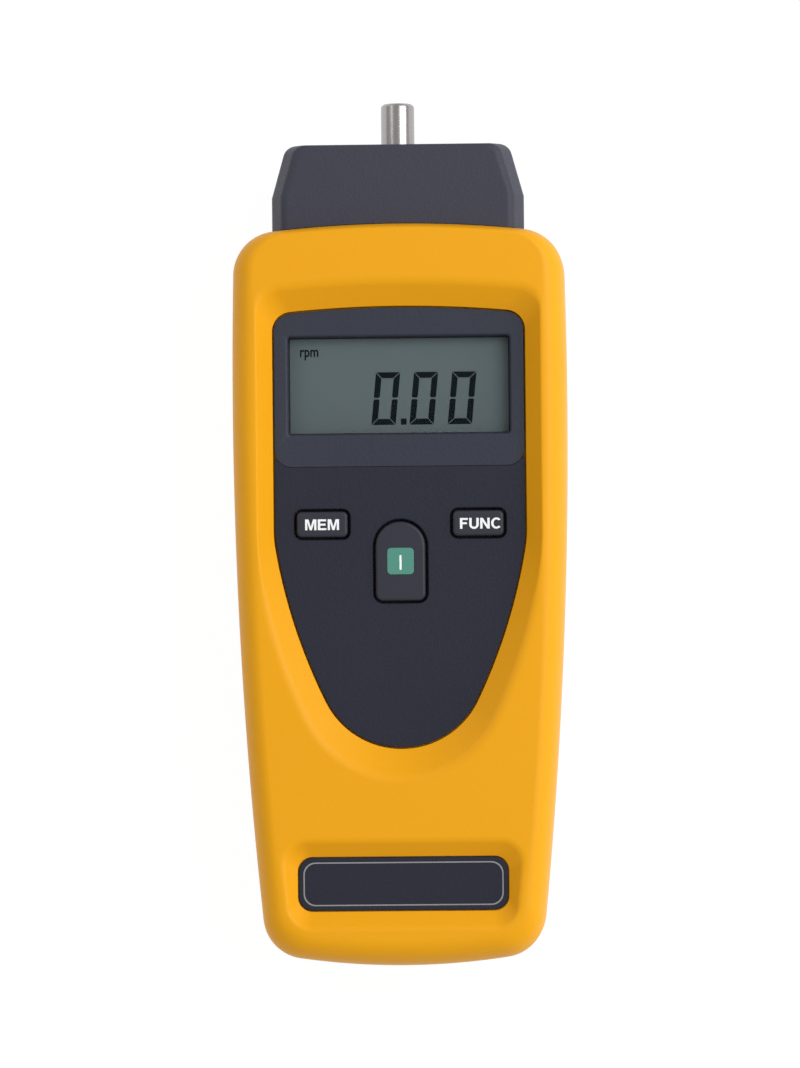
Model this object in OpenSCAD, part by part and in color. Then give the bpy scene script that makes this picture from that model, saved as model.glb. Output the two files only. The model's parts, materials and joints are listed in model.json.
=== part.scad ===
// Handheld laser tachometer with a push-on contact adapter, in millimetres.
// It lies on its back: +Y runs from the foot of the case to the shaft, +Z comes out of the face.

/* [Case] */
// Length of the yellow case, foot to crown
case_length = 132.5; // [126:0.5:142]
// Greatest width of the case
case_width = 60; // [59:0.5:66]
// Thickness of the case, back to face
case_depth = 28; // [28:0.5:32]
// Wall thickness of both halves
case_wall = 2.2; // [1.8:0.1:2.4]
// Radius of the bowed sides
side_radius = 900; // [700:10:1400]
// Widest point, measured down from the crown
widest_drop = 32; // [24:1:44]
// Radius of the crowned top end
crown_radius = 205; // [150:5:400]
// Radius of the two top corners
crown_corner = 8.2; // [8:0.2:11]
// Radius of the crowned foot
foot_radius = 125; // [110:5:400]
// Radius of the two foot corners
foot_corner = 8; // [6:0.2:9]

/* [Case edges] */
// Front edge rounding at the sides, in plan
front_edge_side = 4.3; // [3.6:0.1:4.5]
// Front edge rounding at the crown, in plan
front_edge_crown = 1.8; // [1:0.1:3]
// Front edge rounding at the foot, in plan
front_edge_foot = 5.3; // [4:0.1:5.6]
// Height of the front edge rounding
front_edge_height = 6; // [5:0.5:6.5]
// Back edge rounding, in plan
back_edge = 2.6; // [2:0.1:2.8]
// Height of the back edge rounding
back_edge_height = 5; // [4:0.5:6]
// Draft of the side walls over their height
wall_draft = 0.35; // [0.1:0.05:0.5]
// Depth of the lip that joins the two halves
lip_depth = 1.2; // [0.8:0.1:1.5]

/* [Panel] */
// Width of the dark panel
panel_width = 44.8; // [43:0.2:45]
// Crown of the case down to the panel
panel_drop = 15.1; // [14.5:0.1:17]
// Length of the panel, top to tip
panel_length = 78.4; // [74:0.2:80]
// Radius of the panel's tip
tip_radius = 15; // [12:0.2:16]
// Radius of the panel's top corners
panel_corner = 3.5; // [2.5:0.1:4.5]
// Depth of the funnel from the face to the panel
panel_depth = 3; // [2:0.1:3.2]
// Width of the funnel slope at the sides
funnel_side = 2.7; // [2.4:0.1:2.8]
// Width of the funnel slope above the panel
funnel_top = 4.3; // [3:0.1:5]
// Width of the funnel slope below the tip
funnel_tip = 5.1; // [4:0.1:6]
// Thickness of the panel inlays
panel_thickness = 1.7; // [1.2:0.1:2]
// Gap between inlays and case
panel_gap = 0.3; // [0.2:0.05:0.4]
// Drop from the panel's top to the joint of its two inlays
joint_drop = 28.4; // [27:0.2:30]
// Thickness of the case floor under the inlays
floor_thickness = 2; // [1.6:0.1:2.2]

/* [Display] */
// Width of the display opening
view_width = 39.2; // [36:0.2:40]
// Height of the display opening
view_height = 17.2; // [15:0.2:18]
// Drop from the panel's top to the opening's middle
view_drop = 14; // [13.4:0.1:14.2]
// How far the lens reaches under the bezel
lens_margin = 1.6; // [1:0.1:1.8]
// Thickness of the lens
lens_thickness = 1; // [0.8:0.1:1.2]
// Thickness of the display cell
lcd_thickness = 2.2; // [1.8:0.1:2.4]
// Height of the elastomer strips
strip_height = 3.1; // [2.8:0.1:3.4]
// Thickness of the circuit board
board_thickness = 1.6; // [1:0.1:1.6]

/* [Keys] */
// Width of the two oblong keys
key_width = 9; // [7:0.1:9.2]
// Height of the two oblong keys
key_height = 4.5; // [3.6:0.1:5]
// Distance of each oblong key from the middle
key_offset = 13.8; // [13.4:0.1:14.2]
// Drop from the panel's top to the oblong keys
key_drop = 38.6; // [37:0.1:39.5]
// Width of the power key
power_width = 8.8; // [7.6:0.1:9]
// Height of the power key
power_height = 14; // [12:0.1:14.5]
// Drop from the panel's top to the power key's middle
power_drop = 45.2; // [44:0.1:46]
// Side of the green square in the power key
mark_side = 4.8; // [4:0.1:5.2]
// Gap round each key
key_gap = 0.42; // [0.3:0.02:0.5]
// How far the keys stand above the panel
key_proud = 0.8; // [0.5:0.1:1]
// Travel of the keys
key_travel = 0.9; // [0.6:0.1:1]

/* [Nameplate] */
// Width of the plate
plate_width = 37.3; // [34:0.1:38]
// Height of the plate
plate_height = 9.7; // [8.5:0.1:10]
// Foot of the case up to the plate's middle
plate_rise = 15; // [14.6:0.1:15.6]
// Width of the slope round the plate
plate_slope = 2.9; // [2:0.1:3]
// Depth of the slope
plate_depth = 2; // [1:0.1:2.2]
// Thickness of the plate
plate_thickness = 0.8; // [0.6:0.1:1]

/* [Battery] */
// Diameter of a cell
cell_diameter = 10.5; // [10:0.05:10.5]
// Length of a cell with its button
cell_length = 44.5; // [43:0.1:44.5]
// Length of the compartment
bay_length = 52.4; // [51:0.2:53]
// Foot of the case up to the compartment
bay_rise = 9.6; // [9.4:0.1:11]
// Thickness of the door
door_thickness = 1.75; // [1.5:0.05:1.9]
// How far the door's tongues reach into the grooves
tongue_reach = 0.7; // [0.4:0.1:0.8]
// Width of the grip grooves in the door
grip_width = 18; // [14:0.5:24]
// Pitch of the grip grooves
grip_pitch = 2; // [1.8:0.1:2.4]
// Width of a contact plate for one cell
contact_width = 8.8; // [8:0.1:9]
// Height of the contact plates
contact_height = 8; // [7:0.1:9]

/* [Screws] */
// Diameter of the screws
screw_diameter = 2.9; // [2.5:0.1:3]
// Diameter of the screw heads
screw_head = 5.2; // [4.6:0.1:5.4]
// Height of the screw heads
screw_head_height = 2.2; // [1.8:0.1:2.4]
// Depth of the heads' seats from the back
screw_seat = 5; // [4:0.5:6]
// Diameter of the posts that take the screws
post_diameter = 5; // [4.6:0.1:5.2]
// Diameter of the columns that the heads press on
column_diameter = 7.4; // [7:0.1:8]
// Distance of the upper screws from the middle
upper_screw_x = 20.5; // [20:0.1:21.5]
// Drop from the crown to the upper screws
upper_screw_drop = 8.5; // [8:0.1:9]

/* [Contact adapter] */
// How far the adapter stands above the crown
head_length = 14; // [13.6:0.1:16]
// Width of the adapter
head_width = 45; // [42:0.5:46]
// Width of the adapter at its front end
head_front_width = 39.8; // [37:0.2:41]
// Length of the tapered part
head_taper = 9.3; // [7:0.1:10]
// Thickness of the adapter
head_depth = 19.6; // [19.2:0.2:21]
// Width of the sloped flanks in plan
head_flank = 2.1; // [1.5:0.1:2.4]
// Radius of the adapter's front corners
head_corner = 2.3; // [1:0.1:2.4]
// How far the nose reaches into the adapter
nose_reach = 4.2; // [3.6:0.1:4.3]
// Width of the nose
nose_width = 32; // [30:0.2:32.4]
// Thickness of the nose
nose_depth = 14; // [13:0.2:14.2]

/* [Optics] */
// Length of the nose inside the case
nose_inside = 13.5; // [12:0.1:14]
// Distance of each light path from the middle
path_offset = 5.5; // [5.1:0.1:5.8]
// Width of the window in the nose
window_width = 24; // [22:0.2:25]
// Height of the window in the nose
window_height = 9.4; // [9:0.1:10]
// Depth of the window's seat
window_seat = 1.3; // [1:0.1:1.6]
// Diameter of the laser barrel
laser_diameter = 6.3; // [5:0.1:6.6]
// Diameter of the receiver barrel
sensor_diameter = 8.3; // [7:0.1:8.6]
// Aperture of the laser
laser_aperture = 2.4; // [1.5:0.1:3]
// Diameter of the receiver's lens
lens_diameter = 6.8; // [5:0.1:7]

/* [Shaft] */
// Diameter of the contact shaft
shaft_diameter = 6; // [5.6:0.1:6]
// Length of shaft outside the adapter
shaft_reach = 7.5; // [6:0.5:12]
// Outside diameter of the bearings
bearing_diameter = 10; // [9.6:0.1:11]
// Width of one bearing
bearing_width = 3; // [2.5:0.1:3]
// Diameter of the slotted disc
disc_diameter = 16; // [14.6:0.2:16.4]

/* [Fits] */
// Sliding clearance between parts that move past each other
slide_gap = 0.3; // [0.2:0.05:0.35]
// Clearance of parts that sit in a seat
seat_gap = 0.15; // [0.1:0.05:0.2]
// Radial clearance of shaft and bearing rings
bore_gap = 0.02; // [0.01:0.01:0.04]

/* [Hidden] */
$fn = 48;
total_length = case_length + head_length + shaft_reach;
axis_z = case_depth / 2;
widest_y = case_length - widest_drop;

// Heights of the front, from the face inwards
funnel_z = case_depth - panel_depth;
panel_z = funnel_z - 0.3;
seat_z = panel_z - panel_thickness;
floor_z = seat_z - floor_thickness;
lens_z = seat_z - lens_thickness;
lcd_z = lens_z - 0.05 - lcd_thickness;
board_z = lcd_z - strip_height;
flange_z = floor_z - 0.2;
flange_thickness = 1.1;
flange_reach = key_gap + 0.7;
key_z = panel_z + key_proud;
dome_height = flange_z - flange_thickness - board_z - 0.1;

// The lens reaches under the bezel all round
lens_width = view_width + 2 * lens_margin;
lens_height = view_height + 2 * lens_margin;

// Heights of the back, from the floor up
door_sink = 0.25;
door_z = door_sink + door_thickness;
slot_z = door_z + 0.1;
cell_radius = cell_diameter / 2;
cell_pitch = cell_diameter + 0.12;
cell_z = door_z + 0.3 + cell_radius;
deck_z = cell_z + cell_radius + 0.1;
deck_thickness = 1;
bay_half = 2 * cell_pitch + 0.26;
bay_wall = 1.4;
bay_top = bay_rise + bay_length;
tongue_z = 1.1;

// Places along the case
panel_top = case_length - panel_drop;
panel_tip = panel_top - panel_length;
joint_y = panel_top - joint_drop;
view_y = panel_top - view_drop;
key_y = panel_top - key_drop;
power_y = panel_top - power_drop;
head_top = case_length + head_length;
nose_back = case_length - nose_inside;
board_top = nose_back - 2;
board_foot = min(bay_top + bay_wall + 0.5, power_y - 8);
nose_front = case_length + nose_reach;

// Screw places: two beside the nose, two above the batteries and outside the keys' flanges
screw_radius = screw_diameter / 2;
post_radius = post_diameter / 2;
column_radius = column_diameter / 2;
lower_screw_x = key_offset + key_width / 2 + flange_reach + 0.4 + post_radius;
screw_spots = [
    for (side = [-1, 1])
        each [
            [side * upper_screw_x, case_length - upper_screw_drop],
            [side * lower_screw_x, bay_top + 5]
        ]
];

// Pillars that carry the circuit board
pillar_radius = 2.2;
pillar_spots = [
    for (side = [-1, 1])
        each [
            [side * 16, view_y + 3],
            [side * 9, max(board_foot, bay_top + bay_wall) + 3]
        ]
];

// Places of the shaft train along Y, from the tip inwards
lip_y = head_top - 0.8;
front_bearing_y = lip_y - bearing_width;
rear_bearing_y = front_bearing_y - 0.3 - bearing_width;
disc_y = rear_bearing_y - 1.5;
disc_thickness = 0.8;
shaft_radius = shaft_diameter / 2;
bearing_radius = bearing_diameter / 2;
race_radius = (shaft_radius + bearing_radius) / 2 - 0.2;
clip_y = lip_y + 0.05;
clip_thickness = 0.6;

shell_yellow = [0.92, 0.63, 0.06];
panel_dark = [0.24, 0.24, 0.27];
steel = [0.72, 0.73, 0.75];

// A point at an angle on a circle
function around(c, r, a) = c + r * [cos(a), sin(a)];
function heading(v) = atan2(v.y, v.x);
function unit(v) = v / norm(v);

// Where two circles meet, on the side asked for
function meet(c1, r1, c2, r2, side) =
    let (
        d = norm(c2 - c1),
        a = (r1 * r1 - r2 * r2 + d * d) / (2 * d),
        h = sqrt(max(0, r1 * r1 - a * a)),
        u = (c2 - c1) / d
    )
    c1 + a * u + side * h * [-u.y, u.x];

// Arcs of a bowed outline's right half, foot to crown: [centre, radius, from, to, steps]
function barrel(y0, y1, half, wide, rs, rt, ct, rf, cf) =
    let (
        top = [0, y1 - rt],
        side = [half - rs, wide],
        foot = [0, y0 + rf],
        k1 = meet(top, rt - ct, side, rs - ct, -1),
        k0 = meet(foot, rf - cf, side, rs - cf, 1)
    )
    [
        [foot, rf, -90, heading(k0 - foot), 4],
        [k0, cf, heading(k0 - foot), heading(k0 - side), 7],
        [side, rs, heading(k0 - side), heading(k1 - side), 7],
        [k1, ct, heading(k1 - side), heading(k1 - top), 8],
        [top, rt, heading(k1 - top), 90, 4]
    ];

// Arcs of the panel's right half, tip to top, with the flank radius solved from the width
function shield(y0, y1, half, tip, corner) =
    let (
        ta = 26,
        sa = 9.5,
        rs = 8,
        rf = (half - tip * cos(ta) - rs * (1 - cos(sa))) / (cos(sa) - cos(ta)),
        c0 = [0, y0 + tip],
        c1 = around(c0, tip - rf, -ta),
        c2 = around(c1, rf - rs, -sa),
        top = [0, y1 - crown_radius],
        run = crown_radius - corner,
        c3 = [half - corner, top.y + sqrt(run * run - (half - corner) * (half - corner))]
    )
    [
        [c0, tip, -90, -ta, 8],
        [c1, rf, -ta, -sa, 5],
        [c2, rs, -sa, 0, 2],
        [c3, corner, 0, heading(c3 - top), 5],
        [top, crown_radius, heading(c3 - top), 90, 4]
    ];

// Arcs moved outwards by d
function grow(arcs, d) = [for (a = arcs) [a[0], a[1] + d, a[2], a[3], a[4]]];

function trace(arcs) =
    [for (a = arcs, i = [0:a[4]]) around(a[0], a[1], a[2] + (a[3] - a[2]) * i / a[4])];

// Points that repeat the one before are left out
function thin(p) = [for (i = [0:len(p) - 1]) if (i == 0 || norm(p[i] - p[max(0, i - 1)]) > 0.001) p[i]];

// A closed outline from its right half, whose ends lie on the middle line
function both(half) =
    concat(half, [for (i = [len(half) - 2:-1:1]) [-half[i].x, half[i].y]]);

function outline(arcs) = both(thin(trace(arcs)));
function lift(path, z) = [for (p = path) [p.x, p.y, z]];
function blend(a, b, t) = [for (i = [0:len(a) - 1]) a[i] * (1 - t) + b[i] * t];

// One corner of a polygon rounded
function fillet(a, p, b, r, steps) =
    let (
        u = unit(a - p),
        v = unit(b - p),
        half = acos(u * v) / 2,
        c = p + unit(u + v) * r / sin(half),
        a0 = heading(p + u * r / tan(half) - c),
        a1 = heading(p + v * r / tan(half) - c),
        d = a1 - a0,
        sweep = d > 180 ? d - 360 : d < -180 ? d + 360 : d
    )
    [for (k = [0:steps]) around(c, r, a0 + sweep * k / steps)];

function rounded(p, radii, steps) =
    let (n = len(p))
    thin([for (i = [0:n - 1]) each fillet(p[(i + n - 1) % n], p[i], p[(i + 1) % n], radii[i], steps)]);

// A rounded rectangle about a middle, with one radius for the foot and one for the top
function tablet(c, w, h, rf, rt) =
    rounded(
        [
            c + [-w / 2, -h / 2],
            c + [w / 2, -h / 2],
            c + [w / 2, h / 2],
            c + [-w / 2, h / 2]
        ],
        [rf, rf, rt, rt],
        6
    );

// A closed skin through a list of rings with equal numbers of points
module loft(rings) {
    n = len(rings[0]);
    m = len(rings);
    sides = [
        for (k = [0:m - 2], i = [0:n - 1])
            let (a = k * n + i, b = k * n + (i + 1) % n)
            each [[a, a + n, b + n], [a, b + n, b]]
    ];
    first = [for (i = [0:n - 1]) i];
    last = [for (i = [n - 1:-1:0]) (m - 1) * n + i];
    polyhedron([for (r = rings) each r], concat([first, last], sides));
}

module slab(path, z0, z1) {
    translate([0, 0, z0])
        linear_extrude(z1 - z0)
            polygon(path);
}

// A box given by its two corners
module block(a, b) {
    translate(a)
        cube(b - a);
}

// A rod along +Y from one y to another
module rod(x, z, r, y0, y1) {
    translate([x, y0, z])
        rotate([-90, 0, 0])
            cylinder(r = r, h = y1 - y0);
}

// Everything is drawn from the case's foot and moved so that the middle of the length is at y = 0
module placed() {
    translate([0, -total_length / 2, 0])
        children();
}

case_arcs = barrel(
    0, case_length, case_width / 2, widest_y,
    side_radius, crown_radius, crown_corner, foot_radius, foot_corner
);
face_arcs = barrel(
    front_edge_foot, case_length - front_edge_crown, case_width / 2 - front_edge_side, widest_y,
    side_radius, crown_radius, crown_corner - 2.4, foot_radius, foot_corner - 1.6
);
panel_arcs = shield(panel_tip, panel_top, panel_width / 2, tip_radius, panel_corner);
funnel_arcs = shield(
    panel_tip - funnel_tip, panel_top + funnel_top, panel_width / 2 + funnel_side,
    tip_radius + 3.4, panel_corner + 0.8
);
plate_c = [0, plate_rise];

// Case outline moved inwards by d
function inset(d) = outline(grow(case_arcs, -d));

// Rings of the outside of the front half, from the joint to the face
function front_rings() =
    let (
        low = inset(wall_draft),
        face = outline(face_arcs),
        z0 = case_depth - front_edge_height
    )
    concat(
        [lift(inset(0), axis_z), lift(low, z0)],
        [for (t = [15:15:90]) lift(blend(low, face, 1 - cos(t)), z0 + front_edge_height * sin(t))]
    );

// Rings of the outside of the rear half, from the back to the joint
function rear_rings() =
    let (
        low = inset(wall_draft),
        flat = inset(wall_draft + back_edge)
    )
    concat(
        [
            for (t = [90:-15:15])
                lift(blend(low, flat, 1 - cos(t)), back_edge_height * (1 - sin(t)))
        ],
        [lift(low, back_edge_height), lift(inset(0), axis_z)]
    );

// Outline of the upper inlay, moved outwards by d
function bezel_path(d) =
    let (
        half = panel_width / 2 - panel_gap,
        r = 3,
        arcs = grow(panel_arcs, -panel_gap)
    )
    both(thin(concat(
        [[0, joint_y - d]],
        [for (a = [-90:18:0]) around([half - r, joint_y + r], r + d, a)],
        trace(grow([arcs[3], arcs[4]], d))
    )));

// Outline of the lower inlay before the upper one is cut out of it
function keypad_path() =
    let (
        half = panel_width / 2 - panel_gap,
        arcs = grow(panel_arcs, -panel_gap)
    )
    both(thin(concat(
        trace([arcs[0], arcs[1], arcs[2]]),
        [[half, joint_y + 1.3], [0, joint_y + 1.3]]
    )));

// Outlines of the keys, moved outwards by d
function oblong_path(side, d) =
    tablet([side * key_offset, key_y], key_width + 2 * d, key_height + 2 * d, 0.9 + d, 0.9 + d);
function power_path(d) =
    tablet([0, power_y], power_width + 2 * d, power_height + 2 * d, 1.3 + d, power_width / 2 + d - 0.01);

// Outline of the slope round the nameplate
function plate_rim(d, spread) =
    let (
        w = plate_width / 2 + d,
        y0 = plate_rise - plate_height / 2 - d,
        y1 = plate_rise + plate_height / 2 + d
    )
    rounded([[-w + spread, y0], [w - spread, y0], [w, y1], [-w, y1]], [for (i = [0:3]) 2.6 + 0.5 * d], 6);

module front_case() {
    inner = front_edge_side + case_wall;
    z0 = case_depth - front_edge_height;
    color(shell_yellow)
        difference() {
            union() {
                loft(concat(
                    [
                        lift(inset(inner), case_depth - case_wall - 0.3),
                        lift(inset(case_wall + 1.6), case_depth - case_wall - 1.6),
                        lift(inset(case_wall + wall_draft), z0),
                        lift(inset(case_wall), axis_z - lip_depth),
                        lift(inset(1.2), axis_z - lip_depth),
                        lift(inset(1.2), axis_z)
                    ],
                    front_rings()
                ));
                slab(outline(grow(panel_arcs, 1.6)), floor_z, funnel_z + 1);
                slab(
                    plate_rim(1.5, 0.01),
                    case_depth - plate_depth - plate_thickness - 1.4,
                    case_depth - case_wall
                );
                for (s = screw_spots)
                    translate([s.x, s.y, axis_z + 0.05])
                        cylinder(r = post_radius, h = case_depth - case_wall - axis_z - 0.05);
            }
            loft([lift(outline(panel_arcs), funnel_z), lift(outline(funnel_arcs), case_depth + 0.01)]);
            slab(outline(panel_arcs), seat_z, funnel_z + 0.01);
            slab(
                tablet([0, view_y], lens_width + 2.8, lens_height + 2.2, 1, 1),
                floor_z - 1,
                seat_z + 0.1
            );
            for (side = [-1, 1])
                slab(oblong_path(side, key_gap), floor_z - 1, seat_z + 0.1);
            slab(power_path(key_gap), floor_z - 1, seat_z + 0.1);
            loft([
                lift(plate_rim(0, 0.01), case_depth - plate_depth),
                lift(plate_rim(plate_slope, 1.6), case_depth + 0.01)
            ]);
            slab(
                plate_rim(0, 0.01),
                case_depth - plate_depth - plate_thickness,
                case_depth - plate_depth + 0.01
            );
            block(
                [-nose_width / 2 - seat_gap, case_length - 4.6, axis_z - 2],
                [nose_width / 2 + seat_gap, case_length + 5, axis_z + nose_depth / 2 + seat_gap]
            );
            for (s = screw_spots)
                translate([s.x, s.y, axis_z - 1])
                    cylinder(r = screw_radius + 0.05, h = 7.2);
        }
}

module rear_case() {
    rim = axis_z - lip_depth - 0.1;
    color(shell_yellow)
        difference() {
            union() {
                loft(concat(
                    rear_rings(),
                    [
                        lift(inset(1.1), axis_z),
                        lift(inset(1.1), rim),
                        lift(inset(case_wall + 0.1), rim),
                        lift(inset(case_wall + wall_draft), back_edge_height),
                        lift(inset(case_wall + 2.2), case_wall)
                    ]
                ));
                block(
                    [-bay_half - bay_wall, bay_rise - bay_wall, 1],
                    [bay_half + bay_wall, bay_top + bay_wall, deck_z + deck_thickness]
                );
                for (s = screw_spots)
                    translate([s.x, s.y, 1])
                        cylinder(r = column_radius, h = axis_z - 1);
                for (s = pillar_spots)
                    translate([s.x, s.y, 1])
                        cylinder(r = pillar_radius, h = board_z - board_thickness - 1);
            }
            block([-bay_half, bay_rise, slot_z - 0.1], [bay_half, bay_top, deck_z]);
            block([-bay_half, -5, -1], [bay_half, bay_top + 0.2, slot_z]);
            block(
                [-bay_half - tongue_reach - seat_gap, -5, tongue_z - 0.1],
                [bay_half + tongue_reach + seat_gap, bay_top + 0.2, slot_z]
            );
            block(
                [-nose_width / 2 - seat_gap, case_length - 4.6, axis_z - nose_depth / 2 - seat_gap],
                [nose_width / 2 + seat_gap, case_length + 5, axis_z + 2]
            );
            for (s = screw_spots)
                translate([s.x, s.y, 0]) {
                    translate([0, 0, -1])
                        cylinder(r = screw_head / 2 + 0.3, h = screw_seat + 1);
                    cylinder(r = screw_radius + 0.2, h = axis_z + 1);
                }
        }
}

module battery_door() {
    half = bay_half - slide_gap;
    color(shell_yellow)
        difference() {
            intersection() {
                loft(rear_rings());
                union() {
                    block([-half, -5, door_sink], [half, bay_top - 0.05, door_z]);
                    block(
                        [-half - tongue_reach, -5, tongue_z],
                        [half + tongue_reach, bay_top - 0.05, door_z]
                    );
                }
            }
            for (k = [0:5])
                translate([0, bay_rise + 2.4 + grip_pitch * k, 0])
                    block([-grip_width / 2, 0, -1], [grip_width / 2, grip_pitch / 2, door_sink + 0.5]);
        }
}

module display_bezel() {
    color(panel_dark)
        difference() {
            slab(bezel_path(0), seat_z, panel_z);
            slab(tablet([0, view_y], view_width, view_height, 0.4, 0.4), seat_z - 1, panel_z + 1);
        }
}

module keypad_panel() {
    color(panel_dark)
        difference() {
            slab(keypad_path(), seat_z, panel_z);
            slab(bezel_path(0.1), seat_z - 1, panel_z + 1);
            for (side = [-1, 1])
                slab(oblong_path(side, key_gap), seat_z - 1, panel_z + 1);
            slab(power_path(key_gap), seat_z - 1, panel_z + 1);
        }
}

module lcd_window() {
    color([0.6, 0.7, 0.7, 0.4])
        slab(
            tablet([0, view_y], lens_width, lens_height, 0.8, 0.8),
            lens_z,
            seat_z
        );
}

module lcd_cell() {
    color([0.42, 0.48, 0.46])
        block(
            [-view_width / 2 - 2.4, view_y - view_height / 2 - 2.2, lcd_z],
            [view_width / 2 + 2.4, view_y + view_height / 2 + 2.2, lcd_z + lcd_thickness]
        );
}

module lcd_connectors() {
    color([0.75, 0.45, 0.55])
        for (side = [-1, 1])
            translate([-view_width / 2, view_y + side * (view_height / 2 + 0.8) - 1.1, board_z])
                cube([view_width, 2.2, strip_height]);
}

module nameplate() {
    color(panel_dark)
        slab(
            plate_rim(-seat_gap, 0.01),
            case_depth - plate_depth - plate_thickness,
            case_depth - plate_depth - 0.1
        );
}

// A key with a bevelled top and a flange that stops it under the floor
module key(low, top, flange) {
    loft([
        lift(low, flange_z - 0.3),
        lift(low, key_z - 0.4),
        lift(top, key_z)
    ]);
    slab(flange, flange_z - flange_thickness, flange_z);
}

module oblong_key(side) {
    key(oblong_path(side, 0), oblong_path(side, -0.35), oblong_path(side, flange_reach));
}

module mem_button() {
    color(panel_dark)
        oblong_key(-1);
}

module func_button() {
    color(panel_dark)
        oblong_key(1);
}

module power_button() {
    color(panel_dark)
        difference() {
            key(power_path(0), power_path(-0.35), power_path(flange_reach));
            slab(tablet([0, power_y], mark_side, mark_side, 0.75, 0.75), key_z - 0.3, key_z + 1);
        }
}

module power_mark() {
    side = mark_side - 0.06;
    color([0.3, 0.6, 0.52])
        slab(tablet([0, power_y], side, side, 0.72, 0.72), key_z - 0.3, key_z + 0.02);
}

// A hollow rubber dome standing on the board
module dome(x, y) {
    h = dome_height;
    hollow = h - key_travel;
    color([0.5, 0.5, 0.48])
        translate([x, y, board_z])
            rotate_extrude()
                polygon([[2.7, 0], [3.3, 0], [3.3, 0.5], [1.9, h], [0, h], [0, hollow], [1.2, hollow]]);
}

module mem_dome() {
    dome(-key_offset, key_y);
}

module func_dome() {
    dome(key_offset, key_y);
}

module power_dome() {
    dome(0, power_y);
}

module circuit_board() {
    color([0.1, 0.4, 0.25])
        difference() {
            intersection() {
                slab(inset(case_wall + 1.8), board_z - board_thickness, board_z);
                block([-case_width, board_foot, 0], [case_width, board_top, case_depth]);
            }
            for (s = screw_spots)
                hull()
                    for (x = [s.x, 2 * s.x])
                        translate([x, s.y, 0])
                            cylinder(r = column_radius + 0.4, h = case_depth);
        }
}

module optics_nose() {
    w = nose_width / 2;
    d = nose_depth / 2;
    color([0.15, 0.15, 0.17])
        difference() {
            union() {
                block([-w, nose_back, axis_z - d], [w, nose_front, axis_z + d]);
                block(
                    [-w - 1.3, case_length - 5.5, axis_z - d - 1.8],
                    [w + 1.3, case_length - 3.5, axis_z + d + 1.8]
                );
            }
            block(
                [-window_width / 2, nose_front - window_seat, axis_z - window_height / 2],
                [window_width / 2, nose_front + 1, axis_z + window_height / 2]
            );
            rod(-path_offset, axis_z, laser_diameter / 2 + 0.1, nose_back - 1, nose_front);
            rod(path_offset, axis_z, sensor_diameter / 2 + 0.1, nose_back - 1, nose_front);
        }
}

module nose_window() {
    w = window_width / 2 - seat_gap;
    h = window_height / 2 - seat_gap;
    color([0.5, 0.1, 0.12, 0.5])
        block([-w, nose_front - window_seat, axis_z - h], [w, nose_front - 0.1, axis_z + h]);
}

module laser_module() {
    color([0.75, 0.6, 0.3])
        difference() {
            rod(-path_offset, axis_z, laser_diameter / 2, nose_back - 1, nose_front - 3.5);
            rod(-path_offset, axis_z, laser_aperture / 2, nose_front - 6, nose_front);
        }
}

module photo_sensor() {
    color([0.1, 0.1, 0.12]) {
        rod(path_offset, axis_z, sensor_diameter / 2, nose_back + 0.5, nose_front - 6);
        rod(path_offset, axis_z, lens_diameter / 2, nose_front - 6.5, nose_front - 4);
    }
}

// One cell, with its button towards +Y when up is 1 and towards the foot when it is -1
module cell(k) {
    up = k % 2 == 0 ? 1 : -1;
    x = (k - 1.5) * cell_pitch;
    y0 = up > 0 ? bay_top - 0.7 - cell_length : bay_rise + 0.7;
    color([0.25, 0.3, 0.4]) {
        rod(x, cell_z, cell_radius, y0 + (up > 0 ? 0 : 0.8), y0 + cell_length - (up > 0 ? 0.8 : 0));
        rod(x, cell_z, 1.9, y0 + (up > 0 ? 5 : 0), y0 + cell_length - (up > 0 ? 0 : 5));
    }
}

// A conical spring of round wire along +Y
module coil(length) {
    wire = 0.35;
    turns = 3.5;
    n = 35;
    loft([
        for (k = [0:n])
            let (
                a = 360 * turns * k / n,
                r = 3.7 - 1.3 * k / n,
                e = [cos(a), 0, sin(a)],
                c = r * e + [0, wire + (length - 2 * wire) * k / n, 0]
            )
            [for (j = [0:5]) c + wire * (cos(60 * j) * e + sin(60 * j) * [0, 1, 0])]
    ]);
}

module battery_springs() {
    length = bay_length - cell_length - 1.3;
    color(steel)
        for (k = [0:3])
            translate([(k - 1.5) * cell_pitch, k % 2 == 0 ? bay_rise + 0.55 : bay_top - 0.55, cell_z])
                rotate([k % 2 == 0 ? 0 : 180, 0, 0])
                    coil(length);
}

// A contact plate from one cell to another, starting at a given y
module contact(first, last, y) {
    w = contact_width / 2;
    h = contact_height / 2;
    block(
        [(first - 1.5) * cell_pitch - w, y, cell_z - h],
        [(last - 1.5) * cell_pitch + w, y + 0.5, cell_z + h]
    );
}

module battery_plates() {
    color(steel) {
        for (s = [[0, 1], [2, 3]])
            contact(s[0], s[1], bay_top - 0.5);
        for (s = [[0, 0], [1, 2], [3, 3]])
            contact(s[0], s[1], bay_rise);
    }
}

module case_screws() {
    head_z = screw_seat - screw_head_height;
    color(steel)
        for (s = screw_spots)
            translate([s.x, s.y, 0])
                difference() {
                    union() {
                        translate([0, 0, head_z])
                            cylinder(d = screw_head, h = screw_head_height);
                        translate([0, 0, head_z + 0.5])
                            cylinder(r = screw_radius, h = axis_z + 5.5 - head_z - 0.5);
                    }
                    for (a = [0, 90])
                        rotate([0, 0, a])
                            block([-1.6, -0.35, head_z - 1], [1.6, 0.35, head_z + 1.2]);
                }
}

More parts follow.
